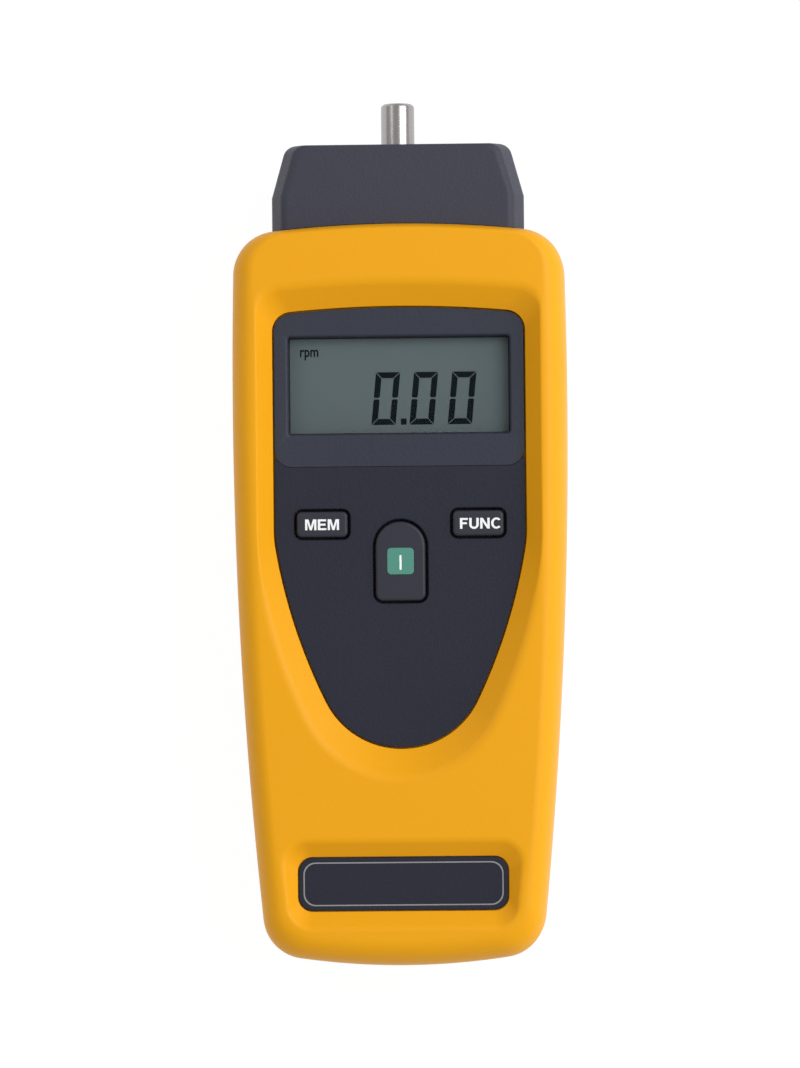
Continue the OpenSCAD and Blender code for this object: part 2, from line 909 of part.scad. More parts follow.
// Plan of the adapter, with its flanks moved in by d
function head_path(d) =
    let (
        w = head_width / 2 - d,
        f = head_front_width / 2 - d,
        y0 = case_length - 5,
        y1 = head_top - 0.15 * d
    )
    concat(
        [[-w, y0], [w, y0], [w, head_top - head_taper]],
        fillet([w, head_top - head_taper], [f, y1], [0, y1], head_corner, 5),
        fillet([0, y1], [-f, y1], [-w, head_top - head_taper], head_corner, 5),
        [[-w, head_top - head_taper]]
    );

module adapter_housing() {
    d = head_depth / 2;
    color(panel_dark)
        difference() {
            loft([
                lift(head_path(head_flank), axis_z - d),
                lift(head_path(0), axis_z - d + 4.5),
                lift(head_path(0), axis_z + d - 4.5),
                lift(head_path(head_flank), axis_z + d)
            ]);
            translate([0, case_length - crown_radius, 0])
                cylinder(r = crown_radius + slide_gap, h = case_depth, $fn = 200);
            block(
                [-nose_width / 2 - slide_gap, case_length - 6, axis_z - nose_depth / 2 - slide_gap],
                [nose_width / 2 + slide_gap, nose_front + slide_gap, axis_z + nose_depth / 2 + slide_gap]
            );
            rod(0, axis_z, disc_diameter / 2 + 0.6, case_length, rear_bearing_y - 0.1);
            rod(0, axis_z, bearing_radius, case_length, lip_y);
            rod(0, axis_z, race_radius + 0.3, case_length, head_top + 1);
        }
}

module adapter_shaft() {
    r = shaft_radius;
    tip = total_length;
    back = disc_y - 0.2;
    groove = r - 0.5;
    color(steel)
        translate([0, back, axis_z])
            rotate([-90, 0, 0])
                rotate_extrude()
                    polygon([
                        [0, 0],
                        [r, 0],
                        [r, disc_y + disc_thickness - back],
                        [race_radius - 0.1, disc_y + disc_thickness - back],
                        [race_radius - 0.1, rear_bearing_y - back],
                        [r, rear_bearing_y - back],
                        [r, clip_y - back],
                        [groove, clip_y - back],
                        [groove, clip_y + clip_thickness - back],
                        [r, clip_y + clip_thickness - back],
                        [r, tip - 0.4 - back],
                        [r - 0.4, tip - back],
                        [0, tip - back]
                    ]);
}

module outer_ring(y) {
    color(steel)
        difference() {
            rod(0, axis_z, bearing_radius - bore_gap, y, y + bearing_width);
            rod(0, axis_z, race_radius + 0.08, y - 1, y + bearing_width + 1);
        }
}

module inner_ring(y) {
    color(steel)
        difference() {
            rod(0, axis_z, race_radius, y, y + bearing_width);
            rod(0, axis_z, shaft_radius + bore_gap, y - 1, y + bearing_width + 1);
        }
}

module rear_bearing_outer() {
    outer_ring(rear_bearing_y);
}

module rear_bearing_inner() {
    inner_ring(rear_bearing_y);
}

module front_bearing_outer() {
    outer_ring(front_bearing_y);
}

module front_bearing_inner() {
    inner_ring(front_bearing_y);
}

module chopper_disc() {
    color([0.2, 0.2, 0.22])
        difference() {
            rod(0, axis_z, disc_diameter / 2, disc_y, disc_y + disc_thickness);
            rod(0, axis_z, shaft_radius + bore_gap, disc_y - 1, disc_y + 2);
            for (a = [0:60:300])
                rod(path_offset * cos(a), axis_z + path_offset * sin(a), 1.4, disc_y - 1, disc_y + 2);
        }
}

module shaft_clip() {
    color(steel)
        difference() {
            rod(0, axis_z, race_radius - 0.05, clip_y, clip_y + clip_thickness - 0.05);
            rod(0, axis_z, shaft_radius - 0.5 + bore_gap, clip_y - 1, clip_y + 2);
            block([-1.6, clip_y - 1, axis_z], [1.6, clip_y + 2, axis_z + 6]);
        }
}

placed() front_case();
placed() rear_case();
placed() battery_door();
placed() display_bezel();
placed() keypad_panel();
placed() lcd_window();
placed() lcd_cell();
placed() lcd_connectors();
placed() nameplate();
placed() mem_button();
placed() func_button();
placed() power_button();
placed() power_mark();
placed() mem_dome();
placed() func_dome();
placed() power_dome();
placed() circuit_board();
placed() optics_nose();
placed() nose_window();
placed() laser_module();
placed() photo_sensor();
placed() cell(0);  // battery_cell_1
placed() cell(1);  // battery_cell_2
placed() cell(2);  // battery_cell_3
placed() cell(3);  // battery_cell_4
placed() battery_springs();
placed() battery_plates();
placed() case_screws();
placed() adapter_housing();
placed() adapter_shaft();
placed() rear_bearing_outer();
placed() rear_bearing_inner();
placed() front_bearing_outer();
placed() front_bearing_inner();
placed() chopper_disc();
placed() shaft_clip();
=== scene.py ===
# %% [markdown]
# # A handheld tachometer, dressed step by step
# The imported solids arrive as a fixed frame, and this lesson gives them their looks. Everything is drawn
# in millimetres from the foot of the case: x across, y towards the shaft, z out of the face. Only the
# last step of each mesh turns millimetres into the frame's metres, so every number can be held to a
# ruler.

import json
import math

import bmesh
import bpy
import numpy as np
from mathutils import Matrix, Vector


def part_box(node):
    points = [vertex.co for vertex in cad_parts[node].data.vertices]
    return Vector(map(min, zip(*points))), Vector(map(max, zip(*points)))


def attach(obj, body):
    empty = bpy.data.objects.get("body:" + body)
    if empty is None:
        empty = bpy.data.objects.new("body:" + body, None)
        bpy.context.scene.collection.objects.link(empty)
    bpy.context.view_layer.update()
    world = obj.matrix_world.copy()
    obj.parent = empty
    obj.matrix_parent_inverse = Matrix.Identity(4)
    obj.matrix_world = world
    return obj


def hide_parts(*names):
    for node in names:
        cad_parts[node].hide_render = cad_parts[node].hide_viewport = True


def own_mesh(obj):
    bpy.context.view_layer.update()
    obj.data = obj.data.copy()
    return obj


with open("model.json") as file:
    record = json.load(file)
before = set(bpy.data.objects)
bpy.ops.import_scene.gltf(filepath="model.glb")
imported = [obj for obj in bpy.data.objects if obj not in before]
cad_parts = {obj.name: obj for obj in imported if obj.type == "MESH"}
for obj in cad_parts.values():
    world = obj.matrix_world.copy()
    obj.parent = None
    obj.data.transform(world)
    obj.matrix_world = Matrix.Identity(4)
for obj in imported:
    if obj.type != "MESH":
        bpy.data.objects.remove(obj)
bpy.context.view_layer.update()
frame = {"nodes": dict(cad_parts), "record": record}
MM = 0.001
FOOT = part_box("front_case")[0].y / MM
bodies = frame["record"]["behaviour"]["bodies"]
body_of = {node: body for body, nodes in bodies.items() for node in nodes}
print("nodes", len(frame["nodes"]), "foot of the case at y", round(FOOT, 2), "mm")

# %% [markdown]
# ## Camera
# The picture was taken from straight above with a long lens, so near and far parts have almost the same
# scale. A camera three quarters of a metre away gives that flatness. The instrument lies a touch askew in
# the picture, so the camera is rolled by half a degree and stands slightly to the right and below.

# %% Camera
IMAGE_HEIGHT = 1068
MM_PER_PIXEL = 0.1794
SENSOR = 36
distance = 750
roll = math.radians(0.55)
lean, tip = math.radians(1.2), math.radians(1.0)
target = Vector((-0.28, -0.13, 14.0))
away = Vector((math.sin(lean), -math.sin(tip), math.cos(lean))).normalized()
up = Vector((math.sin(roll), math.cos(roll), 0))
right = up.cross(away).normalized()
camera = bpy.data.objects.new("camera", bpy.data.cameras.new("camera"))
camera.data.sensor_width = SENSOR
camera.data.lens = SENSOR * distance / (IMAGE_HEIGHT * MM_PER_PIXEL)
turn = Matrix((right, away.cross(right), away)).transposed().to_4x4()
camera.matrix_world = Matrix.Translation((target + away * distance) * MM) @ turn
bpy.context.scene.collection.objects.link(camera)
bpy.context.scene.camera = camera
print("lens", round(camera.data.lens, 1), "mm")

# %% [markdown]
# ## Outlines from tangent arcs
# A moulded case is drawn with a few large arcs that run into each other. Each arc here is a centre, a
# radius and two angles. Moving the whole outline in or out only changes the radii, which keeps the
# corners true and gives every ring the same number of points, ready to be bridged.

# %% Arcs
def around(centre, radius, angle):
    a = math.radians(angle)
    return centre[0] + radius * math.cos(a), centre[1] + radius * math.sin(a)


def heading(a, b):
    return math.degrees(math.atan2(b[1] - a[1], b[0] - a[0]))


def meet(c1, r1, c2, r2, side):
    """Where two circles meet, on the side asked for."""
    d = math.dist(c1, c2)
    along = (r1 * r1 - r2 * r2 + d * d) / (2 * d)
    h = math.sqrt(max(0, r1 * r1 - along * along))
    ux, uy = (c2[0] - c1[0]) / d, (c2[1] - c1[1]) / d
    return c1[0] + along * ux - side * h * uy, c1[1] + along * uy + side * h * ux


print("two circles of radius 5, 6 apart, meet at", meet((0, 0), 5, (6, 0), 5, 1))

# %% Case and panel outlines
def barrel(y0, y1, half, wide, side_r, crown_r, crown_corner, foot_r, foot_corner):
    """Right half of the bowed case outline, from foot to crown.

    Each arc is a centre, a radius, two angles and a number of steps.
    """
    crown, side, foot = (0, y1 - crown_r), (half - side_r, wide), (0, y0 + foot_r)
    k1 = meet(crown, crown_r - crown_corner, side, side_r - crown_corner, -1)
    k0 = meet(foot, foot_r - foot_corner, side, side_r - foot_corner, 1)
    return [
        (foot, foot_r, -90, heading(foot, k0), 10),
        (k0, foot_corner, heading(foot, k0), heading(side, k0), 16),
        (side, side_r, heading(side, k0), heading(side, k1), 26),
        (k1, crown_corner, heading(side, k1), heading(crown, k1), 18),
        (crown, crown_r, heading(crown, k1), 90, 12),
    ]


def shield(y0, y1, half, tip, shoulder, corner, crown):
    """Right half of the panel outline, tip to top, with the flank radius solved from the width."""
    tip_turn, flank_turn = 26, 9.5
    ct, cf = math.cos(math.radians(tip_turn)), math.cos(math.radians(flank_turn))
    flank = (half - tip * ct - shoulder * (1 - cf)) / (cf - ct)
    c0 = (0, y0 + tip)
    c1 = around(c0, tip - flank, -tip_turn)
    c2 = around(c1, flank - shoulder, -flank_turn)
    top = (0, y1 - crown)
    c3 = (half - corner, top[1] + math.sqrt((crown - corner) ** 2 - (half - corner) ** 2))
    return [
        (c0, tip, -90, -tip_turn, 20),
        (c1, flank, -tip_turn, -flank_turn, 16),
        (c2, shoulder, -flank_turn, 0, 6),
        (c3, corner, 0, heading(top, c3), 12),
        (top, crown, heading(top, c3), 90, 12),
    ]

# %% Moving and rounding outlines
def trace(arcs, grow=0.0):
    """Points along a chain of arcs, moved outwards."""
    points = []
    for centre, radius, a0, a1, steps in arcs:
        for i in range(steps + 1):
            p = around(centre, radius + grow, a0 + (a1 - a0) * i / steps)
            if not points or math.dist(p, points[-1]) > 1e-4:
                points.append(p)
    return points


def both(half):
    """A closed outline from its right half, whose ends lie on the middle line."""
    return half + [(-x, y) for x, y in half[-2:0:-1]]


def rounded(corners, radii, steps=8):
    """A convex polygon, counter-clockwise, with its corners rounded."""
    points, n = [], len(corners)
    for i, (p, r) in enumerate(zip(corners, radii)):
        p = Vector(p)
        u = (Vector(corners[i - 1]) - p).normalized()
        v = (Vector(corners[(i + 1) % n]) - p).normalized()
        half = u.angle(v) / 2
        c = p + (u + v).normalized() * r / math.sin(half)
        a0 = heading(c, p + u * r / math.tan(half))
        sweep = 180 - math.degrees(2 * half)
        points += [around(c, r, a0 + sweep * k / steps) for k in range(steps + 1)]
    return points


def tablet(centre, w, h, foot_r, top_r, steps=8):
    """A rounded rectangle with its own radius at the foot and at the top."""
    x, y = centre
    corners = [(x - w / 2, y - h / 2), (x + w / 2, y - h / 2), (x + w / 2, y + h / 2), (x - w / 2, y + h / 2)]
    return rounded(corners, [foot_r, foot_r, top_r, top_r], steps)


def outline(arcs):
    """A closed outline of arcs, ready to be moved outwards by d."""
    return lambda d=0.0: both(trace(arcs, d))


def grown(centre, w, h, foot_r, top_r, steps=8):
    """A rounded rectangle, ready to be moved outwards by d."""
    return lambda d=0.0: tablet(centre, w + 2 * d, h + 2 * d, foot_r + d, top_r + d, steps)


def moved(path, by):
    """An outline that starts further out by a fixed distance."""
    return lambda d=0.0: path(by + d)


def between(a, b, t):
    """The outline a share t of the way from a to b."""
    return [tuple(p) for p in np.array(a) * (1 - t) + np.array(b) * t]


print("points of a rounded square", len(tablet((0, 0), 10, 10, 2, 2)))

# %% [markdown]
# ## From rings to closed skins
# Most pieces here are stacks of rings: bridged ring to ring, then closed with flat fills that may have
# holes. Flat faces should stay flat in the light, so every piece but the thin prints ends with weighted
# normals, which let the large faces decide and keep the roundings between them soft.

# %% Skins
def in_frame(x, y, z):
    """A point in case millimetres as the frame's metres."""
    return x * MM, (y + FOOT) * MM, z * MM


class Skin:
    """Loops of points joined into one closed mesh, drawn up along z or, if asked, along y."""

    def __init__(self, along_y=False):
        self.mesh = bmesh.new()
        self.along_y = along_y

    def ring(self, path, level):
        points = [(u, level, v) if self.along_y else (u, v, level) for u, v in path]
        return self.loop(points)

    def loop(self, points):
        return [self.mesh.verts.new(in_frame(*point)) for point in points]

    def band(self, *rings):
        for low, high in zip(rings, rings[1:]):
            for i in range(len(low)):
                j = (i + 1) % len(low)
                self.mesh.faces.new((low[i], low[j], high[j], high[i]))

    def wall(self, rows):
        """Rings from (outline, level), bridged one to the next."""
        rings = [self.ring(path, level) for path, level in rows]
        self.band(*rings)
        return rings

    def cap(self, ring):
        self.mesh.faces.new(ring)

    def fill(self, *rings):
        edges = []
        for ring in rings:
            for pair in zip(ring, ring[1:] + ring[:1]):
                edges.append(self.mesh.edges.get(pair) or self.mesh.edges.new(pair))
        bmesh.ops.triangle_fill(self.mesh, use_beauty=True, edges=edges)

    def piece(self, name):
        bmesh.ops.recalc_face_normals(self.mesh, faces=self.mesh.faces)
        data = bpy.data.meshes.new(name)
        self.mesh.to_mesh(data)
        self.mesh.free()
        return show(name, data)


def show(name, data):
    obj = bpy.data.objects.new(name, data)
    bpy.context.scene.collection.objects.link(obj)
    return obj


print("foot of the case in metres", in_frame(0, 0, 0))

# %% Lofts, boxes and plates
def loft(name, rows, along_y=False):
    """A solid through (outline, level) rows, closed at both ends."""
    skin = Skin(along_y)
    rings = skin.wall(rows)
    skin.fill(rings[0])
    skin.fill(rings[-1])
    return skin.piece(name)


def box(name, low, high):
    path = [(low[0], low[1]), (high[0], low[1]), (high[0], high[1]), (low[0], high[1])]
    return loft(name, [(path, low[2]), (path, high[2])])


def circle(x, y, r, steps=64):
    return [around((x, y), r, 360 * k / steps) for k in range(steps)]


def lathe(name, profile, x, z, steps=64):
    """Turned about an axis along y: profile is a list of (radius, y)."""
    return loft(name, [(circle(x, z, r, steps), y) for r, y in profile], along_y=True)


def edge_arc(edge, steps=5):
    """Steps of a quarter round: how far in, and how far below the top."""
    angles = [math.pi / 2 * k / steps for k in range(steps + 1)]
    return [(edge * (1 - math.cos(a)), edge * (1 - math.sin(a))) for a in angles]


def plate(name, outer, holes, z0, z1, edge, hole_edge=0.0, along_y=False):
    """A flat part with rounded upper edges. outer(d) and each hole(d) are outlines moved outwards by d."""
    skin = Skin(along_y)
    low, top = [], []
    for path, inward, rounding in [(outer, -1, edge)] + [(hole, 1, hole_edge or edge) for hole in holes]:
        rows = [(path(inward * d), z1 - drop) for d, drop in edge_arc(rounding)]
        rings = skin.wall([(path(0), z0)] + rows)
        low.append(rings[0])
        top.append(rings[-1])
    skin.fill(*low)
    skin.fill(*top)
    return skin.piece(name)


print("a 1 mm edge in two steps", [(round(d, 2), round(drop, 2)) for d, drop in edge_arc(1, 2)])

# %% Carving, shading and riding
def settle(obj):
    """The result of the modifiers becomes the mesh."""
    graph = bpy.context.evaluated_depsgraph_get()
    data = bpy.data.meshes.new_from_object(obj.evaluated_get(graph), depsgraph=graph)
    obj.modifiers.clear()
    obj.data = data


def shade(obj, sharp):
    obj.data.shade_smooth()
    obj.data.set_sharp_from_angle(angle=math.radians(sharp))
    normals = obj.modifiers.new("flat faces lead", "WEIGHTED_NORMAL")
    normals.keep_sharp = True
    settle(obj)


def carve(obj, operation, *tools):
    for tool in tools:
        cut = obj.modifiers.new("carve", "BOOLEAN")
        cut.operation, cut.object, cut.solver, cut.use_self = operation, tool, "EXACT", True
        settle(obj)
        bpy.data.objects.remove(tool)
    return obj


def decorate(obj, finish, node, sharp=35):
    """Shades a piece, gives it its finish and lets it ride with a node's body. It hides nothing."""
    if sharp:
        shade(obj, sharp)
    obj.data.materials.clear()
    obj.data.materials.append(finish.material)
    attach(obj, body_of[node])
    print(obj.name, len(obj.data.polygons), "faces")


def dress(obj, finish, node, sharp=35):
    """The same for a piece that stands for its node."""
    decorate(obj, finish, node, sharp)
    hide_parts(node)
    return obj

# %% [markdown]
# ## Writing shader sums in Python
# A finish is easier to read as an expression than as a web of nodes. One small class wraps an output
# socket, so that 1 - mask adds its own Math node, and one method adds any other node: its settings first,
# then the values or links of its sockets.

# %% Wires
class Wire:
    """An output socket that can be used in sums."""

    def __init__(self, tree, socket):
        self.tree = tree
        self.socket = socket

    def math(self, operation, *terms):
        return self.tree.add("ShaderNodeMath", {"operation": operation}, dict(enumerate(terms)))

    def __add__(self, other):
        return self.math("ADD", self, other)

    def __sub__(self, other):
        return self.math("SUBTRACT", self, other)

    def __rsub__(self, other):
        return self.math("SUBTRACT", other, self)

    def __mul__(self, other):
        return self.math("MULTIPLY", self, other)

    __radd__ = __add__
    __rmul__ = __mul__

# %% Trees
class Tree:
    """A node tree with one method that adds any node."""

    def __init__(self, nodes):
        self.nodes = nodes

    def add(self, kind, settings=None, inputs=None, out=0):
        node = self.nodes.nodes.new(kind)
        for name, value in (settings or {}).items():
            setattr(node, name, value)
        for key, value in (inputs or {}).items():
            self.put(node.inputs[key], value)
        return Wire(self, node.outputs[out])

    def put(self, socket, value):
        for one in value if isinstance(value, list) else [value]:
            if isinstance(one, Wire):
                self.nodes.links.new(one.socket, socket)
            else:
                socket.default_value = one

# %% Finishes
class Finish(Tree):
    """A material: the Principled shader, its constants and what varies over the surface."""

    def __init__(self, name, colour, **constants):
        self.material = bpy.data.materials.new(name)
        self.material.use_nodes = True
        super().__init__(self.material.node_tree)
        self.shader = self.nodes.nodes["Principled BSDF"]
        self.shader.inputs["Base Color"].default_value = (*colour, 1)
        for socket, value in constants.items():
            self.shader.inputs[socket.replace("_", " ")].default_value = value
        self.place = self.add("ShaderNodeTexCoord", out="Object")

    def feed(self, socket, value):
        self.put(self.shader.inputs[socket], value)

    def noise(self, size, detail=2.0, place=None):
        """Cloudy noise between 0 and 1 whose blotches are about size millimetres wide."""
        inputs = {"Vector": place or self.place, "Scale": 1 / (size * MM), "Detail": detail}
        return self.add("ShaderNodeTexNoise", None, inputs)

    def stretch(self, scale):
        return self.add("ShaderNodeMapping", None, {"Vector": self.place, "Scale": scale})

    def mix(self, factor, a, b):
        a, b = (c if isinstance(c, Wire) else (*c, 1) for c in (a, b))
        return self.add("ShaderNodeMix", {"data_type": "RGBA"}, {0: factor, 6: a, 7: b}, out=2)

    def relief(self, height, depth):
        """Bump of the given depth in millimetres."""
        inputs = {"Height": height, "Distance": depth * MM, "Strength": 1.0}
        self.feed("Normal", self.add("ShaderNodeBump", None, inputs))

# %% [markdown]
# ## Moulded plastics
# The shell is a hard yellow plastic from a spark-eroded mould: matt, with a fine even grain that breaks
# up the highlights. The dark panel and the adapter come from similar moulds. Each finish mixes two close
# shades with broad noise, varies the roughness a little and carries the grain as bump, in millimetres.

# %% Plastics
def moulded(name, colour, tone, roughness, grain, depth, gloss=0.3):
    finish = Finish(name, colour, Specular_IOR_Level=gloss)
    cloud = finish.noise(26, 3)
    speck = finish.noise(grain, 2)
    finish.feed("Base Color", finish.mix(cloud * 0.6 + speck * 0.4, colour, tone))
    finish.feed("Roughness", roughness + (speck - 0.5) * 0.16 + (cloud - 0.5) * 0.06)
    finish.relief(speck + finish.noise(grain * 0.4, 1) * 0.5, depth)
    return finish


yellow = moulded("yellow_shell", (0.87, 0.390, 0.002), (0.83, 0.362, 0.001), 0.46, 0.40, 0.026, 0.25)
dark = moulded("dark_panel", (0.021, 0.023, 0.039), (0.013, 0.015, 0.029), 0.52, 0.50, 0.05, 0.25)
# the bezel is a lighter copy of the dark panel: partly a different plastic, partly painted reflection of the
# soft box above
bezel_tone_and_sheen = moulded("bezel_panel", (0.033, 0.038, 0.059), (0.025, 0.029, 0.048), 0.50, 0.50, 0.05)
head_dark = moulded("adapter_plastic", (0.049, 0.050, 0.073), (0.038, 0.039, 0.059), 0.50, 0.50, 0.05, 0.28)
rubber = moulded("key_rubber", (0.032, 0.033, 0.048), (0.026, 0.027, 0.041), 0.40, 0.35, 0.014)
green = moulded("key_mark", (0.085, 0.29, 0.225), (0.075, 0.265, 0.205), 0.42, 0.25, 0.006)
nose_black = moulded("nose_plastic", (0.018, 0.018, 0.021), (0.013, 0.013, 0.016), 0.5, 0.3, 0.010)
white_print = moulded("white_print", (0.95, 0.96, 0.97), (0.90, 0.91, 0.93), 0.55, 0.2, 0.004)
grey_print = moulded("grey_print", (0.30, 0.30, 0.31), (0.26, 0.26, 0.27), 0.55, 0.2, 0.004)
segment = moulded("lcd_segment", (0.001, 0.004, 0.007), (0.002, 0.006, 0.009), 0.45, 0.25, 0.002, 0.05)
# partly print, partly painted shade: the dark frame on the lens darkens the window's edges where the bezel's
# shadow falls
frame_print = moulded("frame_print", (0.030, 0.033, 0.038), (0.024, 0.027, 0.032), 0.5, 0.2, 0.002, 0.1)
print("plastics", len(bpy.data.materials))

# %% [markdown]
# ## Metals, glass and the rest
# Turned steel shows fine rings across its axis, so its noise is squeezed along y. Springs and contact
# plates are nickel plated, the cells wear a printed sleeve, and the lens is a clear sheet: mostly see-
# through, with a thin gloss.

# %% Metals and glass
def metal(name, colour, tone, roughness, squeeze, depth):
    finish = Finish(name, colour, Metallic=1.0)
    lines = finish.noise(1.0, 3, finish.stretch(squeeze))
    cloud = finish.noise(4, 2)
    finish.feed("Base Color", finish.mix(lines * 0.5 + cloud * 0.5, colour, tone))
    finish.feed("Roughness", roughness + (lines - 0.5) * 0.2)
    finish.relief(lines, depth)
    return finish


def clear(name, colour, alpha, roughness):
    finish = Finish(name, colour, Roughness=roughness)
    smear = finish.noise(9, 3)
    finish.feed("Alpha", alpha + (smear - 0.5) * 0.02)
    return finish


steel = metal("turned_steel", (0.46, 0.435, 0.43), (0.38, 0.36, 0.355), 0.24, (0.6, 9, 0.6), 0.0006)
ring_steel = metal("bearing_steel", (0.60, 0.61, 0.63), (0.50, 0.51, 0.53), 0.28, (3, 3, 3), 0.003)
nickel = metal("spring_nickel", (0.66, 0.65, 0.62), (0.55, 0.54, 0.51), 0.26, (6, 2, 6), 0.004)
brass = metal("laser_brass", (0.72, 0.52, 0.22), (0.60, 0.42, 0.17), 0.27, (1, 12, 1), 0.004)
black_zinc = metal("black_zinc", (0.085, 0.085, 0.09), (0.05, 0.05, 0.055), 0.38, (4, 4, 4), 0.006)
anodised = metal("black_anodised", (0.045, 0.045, 0.05), (0.03, 0.03, 0.034), 0.5, (5, 5, 5), 0.004)
lens_clear = clear("clear_lens", (0.02, 0.025, 0.025), 0.06, 0.05)
red_clear = clear("red_window", (0.32, 0.012, 0.018), 0.62, 0.06)
print("metals and glass", len(bpy.data.materials))

# %% [markdown]
# ## Display, board and cells
# A reflective display is a grey-green sheet under glass. Its colour is painted a little darker towards its
# foot, as painted shade for how the light falls across it. The circuit board has solder mask over copper
# tracks, and the elastomer strips show fine stripes of conducting layers.

# %% Inner finishes
def display_finish():
    finish = Finish("display", (0.16, 0.215, 0.2), Specular_IOR_Level=0.2)
    height = finish.add("ShaderNodeSeparateXYZ", None, {0: finish.place}, out="Y")
    low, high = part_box("lcd_cell")[0].y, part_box("lcd_cell")[1].y
    # painted shade: the sheet's colour darkens towards the cell's foot, standing in for how the light falls
    # across it
    rise = (height - low) * (1 / (high - low))
    cloud = finish.noise(7, 2)
    weave = finish.noise(0.12, 1)
    sheet_painted_shade = finish.mix(rise * 0.8 + cloud * 0.2, (0.122, 0.158, 0.166), (0.130, 0.172, 0.180))
    finish.feed("Base Color", finish.mix(weave * 0.12, sheet_painted_shade, (0.08, 0.10, 0.105)))
    finish.feed("Roughness", 0.28 + weave * 0.1)
    return finish


def board_finish():
    tracks_per_metre, track_width = 260, 0.07
    finish = Finish("solder_mask", (0.02, 0.16, 0.07), IOR=1.5)
    pattern = {"Vector": finish.place, "Scale": tracks_per_metre}
    tracks = finish.add("ShaderNodeTexVoronoi", {"feature": "DISTANCE_TO_EDGE"}, pattern)
    copper = tracks.math("LESS_THAN", tracks, track_width)
    finish.feed("Base Color", finish.mix(copper, (0.012, 0.12, 0.05), (0.05, 0.25, 0.11)))
    finish.feed("Roughness", 0.32 + finish.noise(3, 2) * 0.15)
    finish.relief(copper, 0.03)
    return finish


def striped_rubber(name, colour, tone, pitch):
    """Stripes at a pitch in millimetres. A wave texture repeats every tau / 20 units at scale 1."""
    finish = Finish(name, colour)
    scale = math.tau / 20 / (pitch * MM)
    wave = finish.add("ShaderNodeTexWave", None, {"Vector": finish.place, "Scale": scale})
    finish.feed("Base Color", finish.mix(wave, colour, tone))
    finish.feed("Roughness", 0.6 + finish.noise(1, 2) * 0.2)
    return finish


display = display_finish()
solder_mask = board_finish()
strip_rubber = striped_rubber("connector_rubber", (0.45, 0.16, 0.24), (0.10, 0.08, 0.09), 0.4)
dome_rubber = moulded("dome_rubber", (0.34, 0.34, 0.32), (0.28, 0.28, 0.27), 0.6, 0.4, 0.01)
sensor_black = moulded("sensor_black", (0.015, 0.012, 0.018), (0.022, 0.016, 0.026), 0.2, 0.6, 0.002)
sleeve = moulded("cell_sleeve", (0.02, 0.05, 0.16), (0.015, 0.04, 0.13), 0.3, 0.5, 0.003)
print("all finishes", len(bpy.data.materials))

# %% [markdown]
# ## Sizes of the case
# The driving sizes of the solids are repeated here, because the skins below follow the same arcs. What
# can be read from the frame is read from it.

# %% Sizes
case_half, case_end, case_depth = np.array(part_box("front_case")[1]) / MM
case_length = case_end - FOOT
axis_z = case_depth / 2
side_radius, crown_radius, foot_radius = 900, 205, 125
crown_corner, foot_corner, face_crown_corner, face_foot_corner = 8.2, 8, 5.8, 6.4
widest_y = case_length - 32
edge_side, edge_crown, edge_foot, edge_height = 4.3, 1.8, 5.3, 6
back_edge, back_edge_height = 2.6, 5
wall, draft, seam, play = 2.2, 0.35, 0.22, 0.1

panel_top, panel_tip = case_length - 15.1, case_length - 93.5
panel_half, panel_gap = 22.4, 0.3
tip_radius, shoulder_radius, panel_corner = 15, 20, 3.5
funnel_foot, funnel_head, funnel_side = 5.1, 4.3, 2.7
funnel_tip_radius, funnel_shoulder_radius, funnel_corner = 18.4, 60, 4.3
funnel_z, panel_z, seat_z, floor_z = case_depth - 3, case_depth - 3.3, case_depth - 5, case_depth - 7
joint_y = panel_top - 28.4
view_y, view_w, view_h, view_corner = panel_top - 14, 39.2, 17.2, 0.4
key_x, key_y, key_w, key_h, key_corner, key_gap = 13.8, panel_top - 38.6, 9, 4.5, 0.9, 0.42
power_y, power_w, power_h, power_corner = panel_top - 45.2, 8.8, 14, 1.3
power_arch = power_w / 2 - 0.01
plate_y, plate_w, plate_h, plate_corner = 15, 37.3, 9.7, 2.6
plate_slope, plate_depth, plate_spread = 2.9, 2, 1.6
print("case", round(2 * case_half, 1), round(case_length, 1), round(case_depth, 1), "mm")

# %% Outlines
case_path = outline(barrel(
    0, case_length, case_half, widest_y, side_radius, crown_radius, crown_corner, foot_radius, foot_corner
))
face_path = outline(barrel(
    edge_foot, case_length - edge_crown, case_half - edge_side, widest_y,
    side_radius, crown_radius, face_crown_corner, foot_radius, face_foot_corner,
))
panel_arcs = shield(panel_tip, panel_top, panel_half, tip_radius, shoulder_radius, panel_corner, crown_radius)
panel_path = outline(panel_arcs)
funnel_path = outline(shield(
    panel_tip - funnel_foot, panel_top + funnel_head, panel_half + funnel_side,
    funnel_tip_radius, funnel_shoulder_radius, funnel_corner, crown_radius,
))
view_path = grown((0, view_y), view_w, view_h, view_corner, view_corner)
key_paths = {}
for use, x in (("mem", -key_x), ("func", key_x)):
    key_paths[use] = grown((x, key_y), key_w, key_h, key_corner, key_corner)
key_paths["power"] = grown((0, power_y), power_w, power_h, power_corner, power_arch, 16)


def rim_path(d=0.0, spread=0.01, extra=0.0):
    """The plate's outline, moved out by d. The spread narrows its foot and the extra rounds its corners."""
    w, h, radius = plate_w / 2 + d, plate_h / 2 + d, plate_corner + 0.5 * d + extra
    corners = [(-w + spread, plate_y - h), (w - spread, plate_y - h), (w, plate_y + h), (-w, plate_y + h)]
    return rounded(corners, [radius] * 4)


print("points of case, panel and plate", len(case_path()), len(panel_path()), len(rim_path()))

# %% [markdown]
# ## Front shell
# The front half is one moulding: bowed walls that roll over a soft edge into the face, a funnel that
# falls to the dark panel, and a shallow dish for the plate near the foot. A boolean would leave hard
# lips, so the skin is built ring by ring, and each lip is a small curve from the face into its slope.

# %% Lips and rolled edges
lip_share = 0.75


